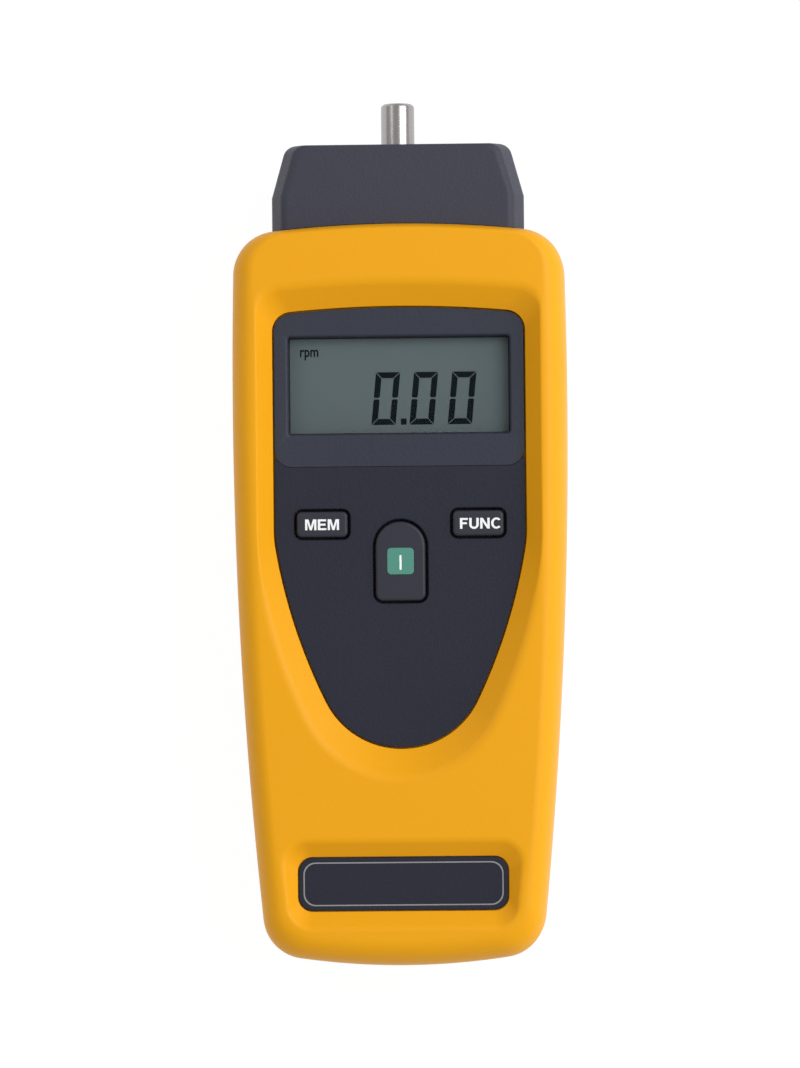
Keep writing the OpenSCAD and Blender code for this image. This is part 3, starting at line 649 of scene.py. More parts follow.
def clearance(points, border):
    """Distance of each point from a closed outline."""
    start = np.array(border)
    run = np.roll(start, -1, axis=0) - start
    gaps = []
    for p in np.array(points):
        t = np.clip(((p - start) * run).sum(1) / (run * run).sum(1), 0, 1)
        gaps.append(np.hypot(*(start + run * t[:, None] - p).T).min())
    return np.array(gaps)


def bend(a, p, b, steps=6):
    """A short curve from a to b that leaves and arrives along the lines through p."""
    a, p, b = np.array(a), np.array(p), np.array(b)
    return [a * (1 - t) ** 2 + 2 * t * (1 - t) * p + b * t * t for t in np.linspace(0, 1, steps + 1)]


def roll_in(skin, face, edge, outer, foot, z_foot, reach):
    """Rings of a lip that turns from the face into a slope, as wide as the land beside it allows."""
    top = np.array([(*p, case_depth) for p in edge])
    low = np.array([(*p, z_foot) for p in foot])
    out = np.array([(*p, case_depth) for p in outer]) - top
    reach = np.minimum(reach, lip_share * clearance(edge, face))[:, None]
    fall = low - top
    stop = top + fall / np.linalg.norm(fall, axis=1)[:, None] * reach
    rings = [skin.loop(ring) for ring in bend(top + out * reach, top, stop) + [low]]
    skin.band(*rings)
    return rings


def rolled(low, flat, z, rise, steps):
    """Outlines and levels of a quarter round that leads from a wall to a flat face."""
    angles = [math.pi / 2 * k / steps for k in range(1, steps + 1)]
    return [(between(low, flat, 1 - math.cos(a)), z + rise * math.sin(a)) for a in angles]


print("clear of a square's edge by", clearance([(1, 2)], [(0, 0), (4, 0), (4, 4), (0, 4)]))

# %% Front shell
lip_reach, dish_lip_reach = 1.1, 0.8
face_wall, window_room, basin_room = 2.5, 2.6, 1.6
plate_seat, tray_room, tray_depth = 0.8, 1.5, 2.2
ceiling_inset, haunch_inset, haunch_drop, rebate = 5.9, 3.8, 1.4, 1.2
nose_half, nose_high, nose_gap, mouth_depth, overrun = 16, 7, 0.15, 4.6, 5


def front_shell():
    skin = Skin()
    low, face = case_path(-draft), face_path()
    edge_z, dish_z, ceiling = case_depth - edge_height, case_depth - plate_depth, case_depth - face_wall
    rows = [(case_path(-seam), axis_z), (case_path(), axis_z + seam), (low, edge_z)]
    outside = skin.wall(rows + rolled(low, face, edge_z, edge_height, 14))
    funnel = roll_in(skin, face, funnel_path(), funnel_path(1), panel_path(), funnel_z, lip_reach)
    dish_top, dish_out = rim_path(plate_slope, plate_spread), rim_path(plate_slope + 1, plate_spread, 0.5)
    dish = roll_in(skin, face, dish_top, dish_out, rim_path(), dish_z, dish_lip_reach)
    skin.fill(outside[-1], funnel[0], dish[0])

    pocket = skin.ring(panel_path(), seat_z)
    skin.band(funnel[-1], pocket)
    holes = [view_path(window_room)] + [path(key_gap) for path in key_paths.values()]
    walls = [skin.wall([(hole, seat_z), (hole, floor_z)]) for hole in holes]
    skin.fill(pocket, *[upper for upper, lower in walls])
    basin = skin.wall([(panel_path(basin_room), z) for z in (floor_z, ceiling)])
    skin.fill(basin[0], *[lower for upper, lower in walls])

    dish_seat = skin.ring(rim_path(), dish_z - plate_seat)
    skin.band(dish[-1], dish_seat)
    skin.fill(dish_seat)
    tray = skin.wall([(rim_path(tray_room), z) for z in (dish_z - tray_depth, ceiling)])
    skin.fill(tray[0])
    inside = [
        (ceiling_inset, ceiling), (haunch_inset, ceiling - haunch_drop), (wall + draft, edge_z),
        (wall, axis_z - rebate), (rebate, axis_z - rebate), (rebate, axis_z),
    ]
    inner = skin.wall([(case_path(-d), z) for d, z in inside])
    skin.band(inner[-1], outside[0])
    skin.fill(inner[0], basin[1], tray[1])
    return skin.piece("front_shell")


def nose_opening():
    """A tool for the mouth that the nose passes through."""
    half, high = nose_half + nose_gap, nose_high + nose_gap
    low = (-half, case_length - mouth_depth, axis_z - high)
    return box("nose_opening", low, (half, case_length + overrun, axis_z + high))


dress(carve(front_shell(), "DIFFERENCE", nose_opening()), yellow, "front_case")

# %% [markdown]
# ## Rear shell
# The rear half carries the battery bay, the screw columns and the channel of the sliding door. The
# channel and the screw holes are cut with tools that flare at the mouth, which leaves the small chamfer
# that a mould maker would put there.

# %% Tools for the rear shell
bay_half, bay_foot, bay_top, bay_wall = 21.5, 9.6, 62.0, 1.4
slot_z, deck_z, tongue_z, groove_reach, slot_play = 2.1, 12.9, 1.1, 0.85, 0.2
screw_spots = [(20.5, case_length - 8.5), (22.12, bay_top + 5)]
screw_spots += [(-x, y) for x, y in screw_spots]
column_r, head_room_r, shank_room_r, seat_depth = 3.7, 2.9, 1.65, 5
sunk, flare, below = 1, 0.25, 0.5


def rear_rows():
    """Outside of the rear half, from the back to the joint."""
    low, flat = case_path(-draft), case_path(-draft - back_edge)
    back = rolled(low, flat, back_edge_height, -back_edge_height, 12)[::-1]
    return back + [(low, back_edge_height), (case_path(), axis_z - seam), (case_path(-seam), axis_z)]


def flared(name, low, high):
    """A box tool whose mouth at z = 0 opens by the flare."""
    rows = []
    for grow, z in [(flare + below, -below), (0, flare), (0, high[2])]:
        x0, y0, x1, y1 = low[0] - grow, low[1] - grow, high[0] + grow, high[1] + grow
        rows.append(([(x0, y0), (x1, y0), (x1, y1), (x0, y1)], z))
    return loft(name, rows)


def turned_hole(x, y):
    """A tool for a screw's hole, wide for the head and narrow for the shank."""
    head = [(head_room_r + flare + below, -below), (head_room_r, flare), (head_room_r, seat_depth)]
    shank = [(shank_room_r, seat_depth), (shank_room_r, axis_z + sunk)]
    return loft("screw_hole", [(circle(x, y, r, 40), z) for r, z in head + shank])


print("screws at", [(round(x, 1), round(y, 1)) for x, y in screw_spots])

# %% Rear shell
rim_inset, rim_height, floor_cove = 1.1, 1.3, 2.2
rim_z = axis_z - rim_height
inside = [
    (rim_inset, axis_z), (rim_inset, rim_z), (wall + play, rim_z),
    (wall + draft, back_edge_height), (wall + floor_cove, wall),
]
rear = loft("rear_shell", rear_rows() + [(case_path(-d), z) for d, z in inside])
bay_out = bay_half + bay_wall
bay = box("bay", (-bay_out, bay_foot - bay_wall, sunk), (bay_out, bay_top + bay_wall, deck_z + sunk))
columns = [loft("column", [(circle(x, y, column_r, 40), z) for z in (sunk, axis_z)]) for x, y in screw_spots]
carve(rear, "UNION", bay, *columns)
channel_top, groove_half = bay_top + slot_play, bay_half + groove_reach
cavity = box("cavity", (-bay_half, bay_foot, slot_z - play), (bay_half, bay_top, deck_z))
channel = flared("channel", (-bay_half, -overrun, 0), (bay_half, channel_top, slot_z))
grooves = box("grooves", (-groove_half, -overrun, tongue_z - play), (groove_half, channel_top, slot_z))
holes = [turned_hole(x, y) for x, y in screw_spots]
carve(rear, "DIFFERENCE", cavity, channel, grooves, nose_opening(), *holes)
dress(rear, yellow, "rear_case")

# %% [markdown]
# ## Geometry Nodes for what repeats
# Screws, springs and grip grooves are each one shape set down several times. A small tree makes the shape
# from named sizes, sets it on the points of a helper mesh, turns it by an attribute and realizes the
# copies, because an export drops instances. The result is turned into a plain mesh at once.

# %% Patterns
class Pattern(Tree):
    """A Geometry Nodes tree with named sizes, which sets one shape on every point."""

    def __init__(self, name, **sizes):
        super().__init__(bpy.data.node_groups.new(name, "GeometryNodeTree"))
        sockets = self.nodes.interface
        sockets.new_socket("Geometry", in_out="INPUT", socket_type="NodeSocketGeometry")
        self.keys = {}
        for size in sizes:
            socket = sockets.new_socket(size, in_out="INPUT", socket_type="NodeSocketFloat")
            self.keys[size] = socket.identifier
        sockets.new_socket("Geometry", in_out="OUTPUT", socket_type="NodeSocketGeometry")
        self.sizes = sizes
        self.given = self.nodes.nodes.new("NodeGroupInput")

    def size(self, name):
        return Wire(self, self.given.outputs[name])

    def vector(self, x, y, z):
        return self.add("ShaderNodeCombineXYZ", None, {"X": x, "Y": y, "Z": z})

    def move(self, shape, where, turn=(0, 0, 0)):
        inputs = {"Geometry": shape, "Translation": where, "Rotation": turn}
        return self.add("GeometryNodeTransform", None, inputs)

    def solid(self, operation, *shapes):
        if operation == "DIFFERENCE":
            parts = {"Mesh 1": shapes[0], "Mesh 2": list(shapes[1:])}
        else:
            parts = {"Mesh 2": list(shapes)}
        return self.add("GeometryNodeMeshBoolean", {"operation": operation, "solver": "EXACT"}, parts)

    def grow(self, name, shape, finish, spots, turns):
        """Sets the shape on the spots, in case millimetres, and returns a plain mesh object."""
        turned = self.add("GeometryNodeInputNamedAttribute", {"data_type": "FLOAT_VECTOR"}, {"Name": "turn"})
        points = Wire(self, self.given.outputs["Geometry"])
        inputs = {"Points": points, "Instance": shape, "Rotation": turned}
        copies = self.add("GeometryNodeInstanceOnPoints", None, inputs)
        whole = self.add("GeometryNodeRealizeInstances", None, {"Geometry": copies})
        made = self.add("GeometryNodeSetMaterial", None, {"Geometry": whole, "Material": finish.material})
        end = self.nodes.nodes.new("NodeGroupOutput")
        self.put(end.inputs["Geometry"], made)
        data = bpy.data.meshes.new(name)
        data.from_pydata([in_frame(*spot) for spot in spots], [], [])
        attribute = data.attributes.new("turn", "FLOAT_VECTOR", "POINT")
        attribute.data.foreach_set("vector", np.array(turns).ravel())
        obj = show(name, data)
        modifier = obj.modifiers.new("pattern", "NODES")
        modifier.node_group = self.nodes
        for size, value in self.sizes.items():
            modifier[self.keys[size]] = value * MM
        settle(obj)
        return obj

# %% [markdown]
# ## Screws
# Four black self-tapping screws hold the halves together. The head is a cylinder trimmed by a large ball,
# which gives the low dome of a pan head, and two crossed bars cut the recess.

# %% Screws
def screw_shape(p):
    radius, height, rise = p.size("head radius"), p.size("head height"), p.size("ball radius")
    head_z, slot = p.size("head face"), p.size("slot width")
    body = p.add("GeometryNodeMeshCylinder", None, {"Vertices": 40, "Radius": radius, "Depth": height})
    body = p.move(body, p.vector(0, 0, head_z + height * 0.5))
    ball = p.add("GeometryNodeMeshUVSphere", None, {"Segments": 48, "Rings": 32, "Radius": rise})
    head = p.solid("INTERSECT", body, p.move(ball, p.vector(0, 0, head_z + rise)))
    thin, reach = p.size("shank radius"), p.size("shank length")
    shank = p.add("GeometryNodeMeshCylinder", None, {"Vertices": 32, "Radius": thin, "Depth": reach})
    whole = p.solid("UNION", head, p.move(shank, p.vector(0, 0, head_z + height * 0.6 + reach * 0.5)))
    bars = []
    for angle in (0, math.pi / 2):
        bar = p.add("GeometryNodeMeshCube", None, {"Size": p.vector(radius * 1.25, slot, height)})
        bars.append(p.move(bar, p.vector(0, 0, head_z), (0, 0, angle)))
    return p.solid("DIFFERENCE", whole, *bars)


screw_sizes = {
    "head radius": 2.6, "head height": 2.2, "ball radius": 5.2, "head face": 2.8, "slot width": 0.7,
    "shank length": 15.3, "shank radius": 1.45,
}
screws = Pattern("screw", **screw_sizes)
spots = [(x, y, 0) for x, y in screw_spots]
fasteners = screws.grow("screws", screw_shape(screws), black_zinc, spots, [(0, 0, 0)] * len(spots))
dress(fasteners, black_zinc, "case_screws")

# %% [markdown]
# ## Battery door
# The door is the same rear skin, kept only where the channel is, with two tongues that run in the
# grooves. Its thumb grip is a row of scalloped grooves, cut with a row of small cylinders from a Geometry
# Nodes tree.

# %% Battery door
door_z, door_sink, door_gap, door_play, tongue_reach = 2.0, 0.25, 0.3, 0.05, 0.7
groove_pitch, groove_count, groove_foot, groove_lift = 2.0, 6, bay_foot + 2.9, 0.12


def groove_shape(p):
    sizes = {"Vertices": 32, "Radius": p.size("radius"), "Depth": p.size("width")}
    bar = p.add("GeometryNodeMeshCylinder", None, sizes)
    return p.move(bar, (0, 0, 0), (0, math.pi / 2, 0))


door_half, door_top = bay_half - door_gap, bay_top - door_play
tongue_half = door_half + tongue_reach
door = loft("door", rear_rows())
slab = box("slab", (-door_half, -overrun, door_sink), (door_half, door_top, door_z))
tongues = box("tongues", (-tongue_half, -overrun, tongue_z), (tongue_half, door_top, door_z))
carve(door, "INTERSECT", carve(slab, "UNION", tongues))
grip = Pattern("grip", **{"radius": 0.62, "width": 18})
rows = [(0, groove_foot + groove_pitch * k, door_sink - groove_lift) for k in range(groove_count)]
grip_tool = grip.grow("grip_tool", groove_shape(grip), yellow, rows, [(0, 0, 0)] * groove_count)
carve(door, "DIFFERENCE", grip_tool)
dress(door, yellow, "battery_door")

# %% [markdown]
# ## Panel inlays and plate
# Two dark inlays lie in the funnel: the bezel round the display and the key panel below it. Both are flat
# parts with softened edges, so one function makes them from an outline and its holes. The plate near the
# foot is plain, with a fine printed border.

# %% Inlays
bezel_corner, joint_gap, horn = 3, 0.04, 1.3
inlay_edge, window_edge, key_hole_edge = 0.08, 0.5, 0.25
tag_gap, tag_edge = 0.15, 0.2
border_inset, border_width, border_root, border_rise, print_edge = 1.0, 0.22, 0.05, 0.02, 0.01


def bezel_path(d):
    """The upper inlay: a rounded foot, and the panel's own top."""
    half = panel_half - panel_gap
    centre = (half - bezel_corner, joint_y + bezel_corner)
    foot = [(0, joint_y - d)] + [around(centre, bezel_corner + d, a) for a in range(-90, 1, 9)]
    return both(foot + trace(panel_arcs[3:], d - panel_gap))


def keypad_path(d):
    """The lower inlay, with two small horns that reach up beside the bezel's corners."""
    half = panel_half - panel_gap
    centre, r = (half - bezel_corner, joint_y + bezel_corner), bezel_corner + joint_gap - d
    tip_angle = -math.degrees(math.asin((bezel_corner - horn - d) / r))
    corner = [around(centre, r, tip_angle + (-90 - tip_angle) * k / 8) for k in range(9)]
    flank = trace(panel_arcs[:3], d - panel_gap) + [(half + d, joint_y + horn + d)]
    return both(flank + corner + [(0, centre[1] - r)])


bezel = plate("bezel", bezel_path, [view_path], seat_z, panel_z, inlay_edge, window_edge)
dress(bezel, bezel_tone_and_sheen, "display_bezel")
key_holes = [moved(path, key_gap) for path in key_paths.values()]
keypad = plate("keypad", keypad_path, key_holes, seat_z, panel_z, inlay_edge, key_hole_edge)
dress(keypad, dark, "keypad_panel")
plate_floor = case_depth - plate_depth
plate_top = plate_floor - play
tag = plate("tag", moved(rim_path, -tag_gap), [], plate_floor - plate_seat, plate_top, tag_edge)
dress(tag, dark, "nameplate")
border_paths = [moved(rim_path, -border_inset - inset) for inset in (0, border_width)]
border_z = plate_top - border_root, plate_top + border_rise
border = plate("tag_border", border_paths[0], border_paths[1:], *border_z, print_edge)
decorate(border, grey_print, "nameplate")

# %% [markdown]
# ## Keys
# Each key is a soft-topped plug with a flange that stops it under the case floor. The top edge is a wide
# round, which is what catches the light along the rim of a real key.

# %% Keys
flange_z, flange_thick, flange_reach = floor_z - 0.2, 1.1, 0.7
key_top, key_edge, key_sharp = panel_z + 0.8, 0.48, 50
mark_side, mark_corner, mark_sink, mark_gap, mark_rise, mark_edge = 4.8, 0.75, 0.3, 0.03, 0.02, 0.1
bar_w, bar_h, bar_corner, bar_drop, bar_thick, bar_edge = 0.37, 2.65, 0.17, 0.25, 0.04, 0.02


def key(name, path, recess=None):
    """A plug with a flange below and, if asked, a recess in its top."""
    skin = Skin()
    flange = path(key_gap + flange_reach)
    rows = [(flange, flange_z - flange_thick), (flange, flange_z), (path(0), flange_z)]
    rings = skin.wall(rows + [(path(-d), key_top - drop) for d, drop in edge_arc(key_edge, 7)])
    skin.fill(rings[0])
    if recess:
        well = skin.wall([(recess, key_top), (recess, key_top - mark_sink)])
        skin.fill(rings[-1], well[0])
        skin.fill(well[1])
    else:
        skin.fill(rings[-1])
    return skin.piece(name)


mark_path = grown((0, power_y), mark_side, mark_side, mark_corner, mark_corner)
for use, path in key_paths.items():
    recess = mark_path() if use == "power" else None
    dress(key(f"{use}_key", path, recess), rubber, f"{use}_button", key_sharp)
mark_z = key_top - mark_sink, key_top + mark_rise
mark = plate("green_mark", moved(mark_path, -mark_gap), [], *mark_z, mark_edge)
dress(mark, green, "power_mark", key_sharp)
bar_path = grown((0, power_y - bar_drop), bar_w, bar_h, bar_corner, bar_corner)
bar = plate("on_bar", bar_path, [], key_top, key_top + bar_thick, bar_edge)
decorate(bar, white_print, "power_mark")

# %% [markdown]
# ## Printed letters
# The key labels are plain bold capitals. Swelling a text object until it is bold makes its outlines
# cross, so each capital is drawn here as one outline on a cap height of 1: straight strokes as corner
# points, bowls as arcs.

# %% Capitals
def bow(centre, rx, ry, a0, a1, steps=12):
    """Part of an ellipse, for the round of a letter."""
    angles = [math.radians(a0 + (a1 - a0) * k / steps) for k in range(steps + 1)]
    return [(centre[0] + rx * math.cos(a), centre[1] + ry * math.sin(a)) for a in angles]


CAPITALS = {
    "M": [
        (0, 0), (0.19, 0), (0.19, 0.76), (0.39, 0), (0.58, 0), (0.78, 0.76), (0.78, 0), (0.97, 0),
        (0.97, 1), (0.68, 1), (0.485, 0.3), (0.29, 1), (0, 1),
    ],
    "E": [
        (0, 0), (0.74, 0), (0.74, 0.18), (0.21, 0.18), (0.21, 0.42), (0.67, 0.42), (0.67, 0.6),
        (0.21, 0.6), (0.21, 0.82), (0.72, 0.82), (0.72, 1), (0, 1),
    ],
    "F": [
        (0, 0), (0.21, 0), (0.21, 0.42), (0.6, 0.42), (0.6, 0.6), (0.21, 0.6), (0.21, 0.82),
        (0.68, 0.82), (0.68, 1), (0, 1),
    ],
    "N": [
        (0, 0), (0.2, 0), (0.2, 0.67), (0.6, 0), (0.82, 0), (0.82, 1), (0.62, 1), (0.62, 0.33),
        (0.22, 1), (0, 1),
    ],
    "U": [
        *bow((0.41, 0.4), 0.41, 0.42, 180, 360), (0.82, 1), (0.61, 1),
        *bow((0.41, 0.38), 0.2, 0.21, 360, 180), (0.21, 1), (0, 1),
    ],
    "C": [*bow((0.46, 0.5), 0.46, 0.52, 40, 320, 24), *bow((0.46, 0.5), 0.25, 0.34, 315, 45, 20)],
}
print("capitals", {letter: len(path) for letter, path in CAPITALS.items()})

# %% Key labels
cap_height, label_widen, label_space, label_thick = 1.9, 1.08, 0.12, 0.03
label_drop, func_shift = 0.05, 0.35


def label(name, word, centre):
    """A word in capitals, centred on a key's top."""
    widths = [max(x for x, y in CAPITALS[c]) for c in word]
    at = -(sum(widths) + label_space * (len(word) - 1)) / 2
    skin = Skin()
    for c, width in zip(word, widths):
        path = [(at + x, y - 0.5) for x, y in CAPITALS[c]]
        path = [(centre[0] + x * cap_height * label_widen, centre[1] + y * cap_height) for x, y in path]
        low, top = skin.wall([(path, key_top), (path, key_top + label_thick)])
        skin.fill(low)
        skin.fill(top)
        at += width + label_space
    return skin.piece(name)


for use, x in (("mem", -key_x), ("func", key_x + func_shift)):
    word = label(f"{use}_label", use.upper(), (x, key_y - label_drop))
    decorate(word, white_print, f"{use}_button", sharp=None)

# %% [markdown]
# ## Display
# The lens lies under the bezel, with a printed dark frame on its underside and a gasket round it, and the
# display cell lies under the lens. The frame is partly print and partly painted shade: it darkens the edges
# of the window where the bezel throws its shadow. The reading is three noughts in seven-segment style: one
# function places the six bars of a nought, mitred at the corners and slanted as on the real cell. The unit is
# small and thin, and there a text object, made into a mesh, is enough.

# %% Lens and display cell
lens_thick, lens_reach, lens_edge = 1, 1.6, 0.12
frame_reach, frame_lap, gasket_reach, gasket_gap, film = 0.9, 0.22, 2.5, 0.05, 0.02
gasket_edge, cell_corner, cell_edge = 0.1, 0.3, 0.15
lens_z = seat_z - lens_thick
lens = plate("lens", moved(view_path, lens_reach), [], lens_z, seat_z, lens_edge)
dress(lens, lens_clear, "lcd_window")
# The dark frame is print and also painted shade along the window's edges, in place of the bezel's shadow.
frame_paths = moved(view_path, frame_reach), [moved(view_path, -frame_lap)]
window_frame_and_shade = plate("window_frame_and_shade", *frame_paths, lens_z - film, lens_z + film, print_edge)
decorate(window_frame_and_shade, frame_print, "lcd_window")
gasket_paths = moved(view_path, gasket_reach), [moved(view_path, lens_reach + gasket_gap)]
gasket = plate("lens_gasket", *gasket_paths, lens_z, seat_z - film, gasket_edge)
decorate(gasket, nose_black, "lcd_window")
lcd_lo, lcd_hi = (np.array(corner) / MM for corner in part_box("lcd_cell"))
lcd_w, lcd_h, cell_thick = lcd_hi - lcd_lo
cell_face = lcd_hi[2]


def cell_path(d):
    return tablet((0, view_y), lcd_w + 2 * d, lcd_h + 2 * d, cell_corner, cell_corner)


cell = plate("display_cell", cell_path, [], cell_face - cell_thick, cell_face, cell_edge)
dress(cell, display, "lcd_cell")

# %% Reading
digit_w, digit_h, stroke, slant = 4.3, 9.35, 1.06, math.tan(math.radians(5.5))
digit_foot, mitre, middle_gap, blunt = view_y - 6.95, 0.1, 0.14, 0.2
digit_places, point_x, point_w, point_h, point_corner = (-5.0, 1.75, 8.55), 0.74, 1.0, 1.1, 0.15
ink_low, ink_thick = 0.005, 0.02


def zero_bars(x):
    """The six bars of a nought: mitred at the corners, blunt where the sides meet half-way up."""
    w, h, s, mid = digit_w, digit_h, stroke, digit_h / 2 + middle_gap
    top = [(mitre, h), (s + mitre, h - s), (w - s - mitre, h - s), (w - mitre, h)]
    side = [
        (0, h - mitre), (0, mid + blunt), (blunt, mid),
        (s - blunt, mid), (s, mid + blunt), (s, h - s - mitre),
    ]
    bars = [top, [(p, h - q) for p, q in top]]
    for flip in (lambda p: p, lambda p: w - p):
        bars += [[(flip(p), q) for p, q in side], [(flip(p), h - q) for p, q in side]]
    return [[(x + p + q * slant, digit_foot + q) for p, q in bar] for bar in bars]


def reading():
    """Three noughts and a point, as thin ink on the cell."""
    skin = Skin()
    bars = [bar for x in digit_places for bar in zero_bars(x)]
    point = (point_x, digit_foot + point_h / 2)
    bars.append(tablet(point, point_w, point_h, point_corner, point_corner, 3))
    ink = cell_face + ink_low
    for path in bars:
        for ring in skin.wall([(path, ink), (path, ink + ink_thick)]):
            skin.cap(ring)
    return skin.piece("reading")


decorate(reading(), segment, "lcd_cell", sharp=None)

# %% Unit
unit_place, unit_height, unit_bold, unit_stretch = (-15.95, view_y + 5.6), 1.9, 0.016, 0.78


def unit_print(word):
    """A text object made into a mesh, fitted to its height and set down on the cell."""
    font = bpy.data.curves.new("unit", "FONT")
    font.body, font.align_x, font.align_y = word, "CENTER", "CENTER"
    font.offset, font.extrude, font.resolution_u = unit_bold, ink_thick, 8
    text = show("unit", font)
    graph = bpy.context.evaluated_depsgraph_get()
    data = bpy.data.meshes.new_from_object(text.evaluated_get(graph))
    bpy.data.objects.remove(text)
    points = np.array([v.co for v in data.vertices])
    low, high = points.min(0), points.max(0)
    size = unit_height / (high[1] - low[1])
    for v in data.vertices:
        x, y, level = np.array(v.co) - (low + high) / 2
        z = cell_face + ink_low + (ink_thick if level > 0 else 0)
        v.co = in_frame(unit_place[0] + x * size * unit_stretch, unit_place[1] + y * size, z)
    mesh = bmesh.new()
    mesh.from_mesh(data)
    bmesh.ops.remove_doubles(mesh, verts=mesh.verts, dist=1e-7)
    bmesh.ops.recalc_face_normals(mesh, faces=mesh.faces)
    mesh.to_mesh(data)
    mesh.free()
    return show("unit", data)


decorate(unit_print("rpm"), segment, "lcd_cell", sharp=None)

# %% [markdown]
# ## Contact adapter
# The adapter is a push-on block with sloped flanks and a crowned foot that follows the case. The skin is
# a stack of plan outlines: the flanks move in towards the top, and the last rings round the edge over.
# The bores for the disc, the bearings and the shaft are cut afterwards.

# %% Adapter block
head_half, head_front, head_taper = 22.5, 19.9, 9.3
head_corner, knee_corner, foot_edge, front_share = 2.3, 0.6, 0.01, 0.15
head_top = case_length + 14
head_deep, head_flank, flank_height = 9.8, 2.1, 4.5
head_edge, knee_round, brow_round = 0.5, 0.8, 1.1
nose_front = case_length + 4.2


def head_path(d, e):
    """Plan of the adapter with the flanks moved in by d and the front moved in by e."""
    w, f = head_half - d, head_front - d
    y0, y1, knee = case_length - overrun, head_top - front_share * d - e, head_top - head_taper
    corners = [(-w, y0), (w, y0), (w, knee), (f, y1), (-f, y1), (-w, knee)]
    return rounded(corners, [foot_edge, foot_edge, knee_corner, head_corner, head_corner, knee_corner])


def head_profile():
    """(flank inset, front inset, height above the middle) from the middle to the top face."""
    slope = np.array([head_flank, flank_height]) / math.hypot(head_flank, flank_height)
    knee, brow = np.array([0, head_deep - flank_height]), np.array([head_flank, head_deep])
    lower = bend(knee - (0, knee_round), knee, knee + slope * knee_round)
    upper = bend(brow - slope * brow_round, brow, brow + (brow_round, 0), 10)
    rows = []
    for d, z in lower + upper:
        over = max(0, z - (head_deep - head_edge)) / head_edge
        rows.append((d, head_edge * (1 - math.sqrt(max(0, 1 - over * over))), z))
    return rows


upper_rows = [(head_path(d, e), axis_z + z) for d, e, z in head_profile()]
lower_rows = [(path, 2 * axis_z - z) for path, z in upper_rows[::-1]]
head = loft("adapter", lower_rows + upper_rows)
print("rings of the adapter", len(lower_rows + upper_rows))

# %% Adapter bores
slide, foot_gap, crown_lean, pocket_back = 0.3, 0.08, 0.4, 6
crown_y, crown_r, past = case_length - crown_radius, crown_radius + foot_gap, axis_z + 1
leans = [(-past, crown_lean), (-head_deep, crown_lean), (0, 0), (head_deep, crown_lean), (past, crown_lean)]
crown_rows = [(circle(0, crown_y, crown_r - inward, 720), axis_z + z) for z, inward in leans]
crown_tool = loft("crown", crown_rows)
pocket_low = (-nose_half - slide, case_length - pocket_back, axis_z - nose_high - slide)
pocket_high = (nose_half + slide, nose_front + slide, axis_z + nose_high + slide)
disc_room_r, bearing_room_r, mouth_r, mouth_edge, mouth_flare = 8.6, 5, 4.1, 0.25, 0.8
lip_thick, bearing_stack = 0.8, 6.3
lip_y = head_top - lip_thick
bearing_y = lip_y - bearing_stack
bearing_seat, mouth_y = bearing_y - play, head_top - mouth_edge
bore_profile = [
    (disc_room_r, case_length), (disc_room_r, bearing_seat), (bearing_room_r, bearing_seat),
    (bearing_room_r, lip_y), (mouth_r, lip_y), (mouth_r, mouth_y),
    (mouth_r + mouth_flare, mouth_y + mouth_flare),
]
bore = lathe("bore", bore_profile, 0, axis_z)
carve(head, "DIFFERENCE", crown_tool, box("pocket", pocket_low, pocket_high), bore)
dress(head, head_dark, "adapter_housing", sharp=30)

# %% [markdown]
# ## Shaft
# The contact shaft is a turned pin with a chamfered tip and a groove for its clip, so it is a lathe
# profile.

# %% Shaft
shaft_back, shaft_tip = (corner.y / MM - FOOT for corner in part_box("adapter_shaft"))
shaft_r, collar_r, clip_groove, clip_room, disc_room = 3, 3.7, 0.5, 0.6, 0.8
clip_play, disc_back = 0.05, 1.5
tip_edge = [(0, 0.55), (0.06, 0.4), (0.36, 0.06), (0.5, 0)]
clip_y, disc_y = lip_y + clip_play, bearing_y - disc_back
groove_r, disc_face = shaft_r - clip_groove, disc_y + disc_room
shaft_profile = [
    (shaft_r, shaft_back), (shaft_r, disc_face), (collar_r, disc_face), (collar_r, bearing_y),
    (shaft_r, bearing_y), (shaft_r, clip_y), (groove_r, clip_y), (groove_r, clip_y + clip_room),
    (shaft_r, clip_y + clip_room),
]
shaft_profile += [(shaft_r - inward, shaft_tip - back) for inward, back in tip_edge]
dress(lathe("shaft", shaft_profile, 0, axis_z, 96), steel, "adapter_shaft", sharp=25)

# %% [markdown]
# ## Optical nose
# Under the adapter sits the nose with its window, and behind the window the laser barrel and the
# receiver. It shows only when the adapter is pulled off, but it is what the instrument measures with.

# %% Nose
nose_back = case_length - 13.5
nose_corner, nose_edge = 1.2, 0.5
flange_half, flange_high, flange_back, flange_front = 17.3, 8.8, 5.5, 3.5
window_half, window_high, window_corner, window_seat, window_gap = 12, 4.7, 0.6, 1.3, 0.15
barrel_rooms = [(-5.5, 3.25), (5.5, 4.25)]
nose_path = grown((0, axis_z), 2 * nose_half, 2 * nose_high, nose_corner, nose_corner)
window_path = grown((0, axis_z), 2 * window_half, 2 * window_high, window_corner, window_corner)
nose = plate("nose", nose_path, [], nose_back, nose_front, nose_edge, along_y=True)
flange_low = (-flange_half, case_length - flange_back, axis_z - flange_high)
flange = box("flange", flange_low, (flange_half, case_length - flange_front, axis_z + flange_high))
pane_back = nose_front - window_seat
seat = loft("seat", [(window_path(), pane_back), (window_path(), nose_front + sunk)], along_y=True)
barrels = [lathe("barrel", [(r, nose_back - sunk), (r, nose_front)], x, axis_z) for x, r in barrel_rooms]
carve(nose, "UNION", flange)
carve(nose, "DIFFERENCE", seat, *barrels)
dress(nose, nose_black, "optics_nose")
pane_path = moved(window_path, -window_gap)
pane = plate("nose_pane", pane_path, [], pane_back, nose_front - play, window_gap, along_y=True)
dress(pane, red_clear, "nose_window")

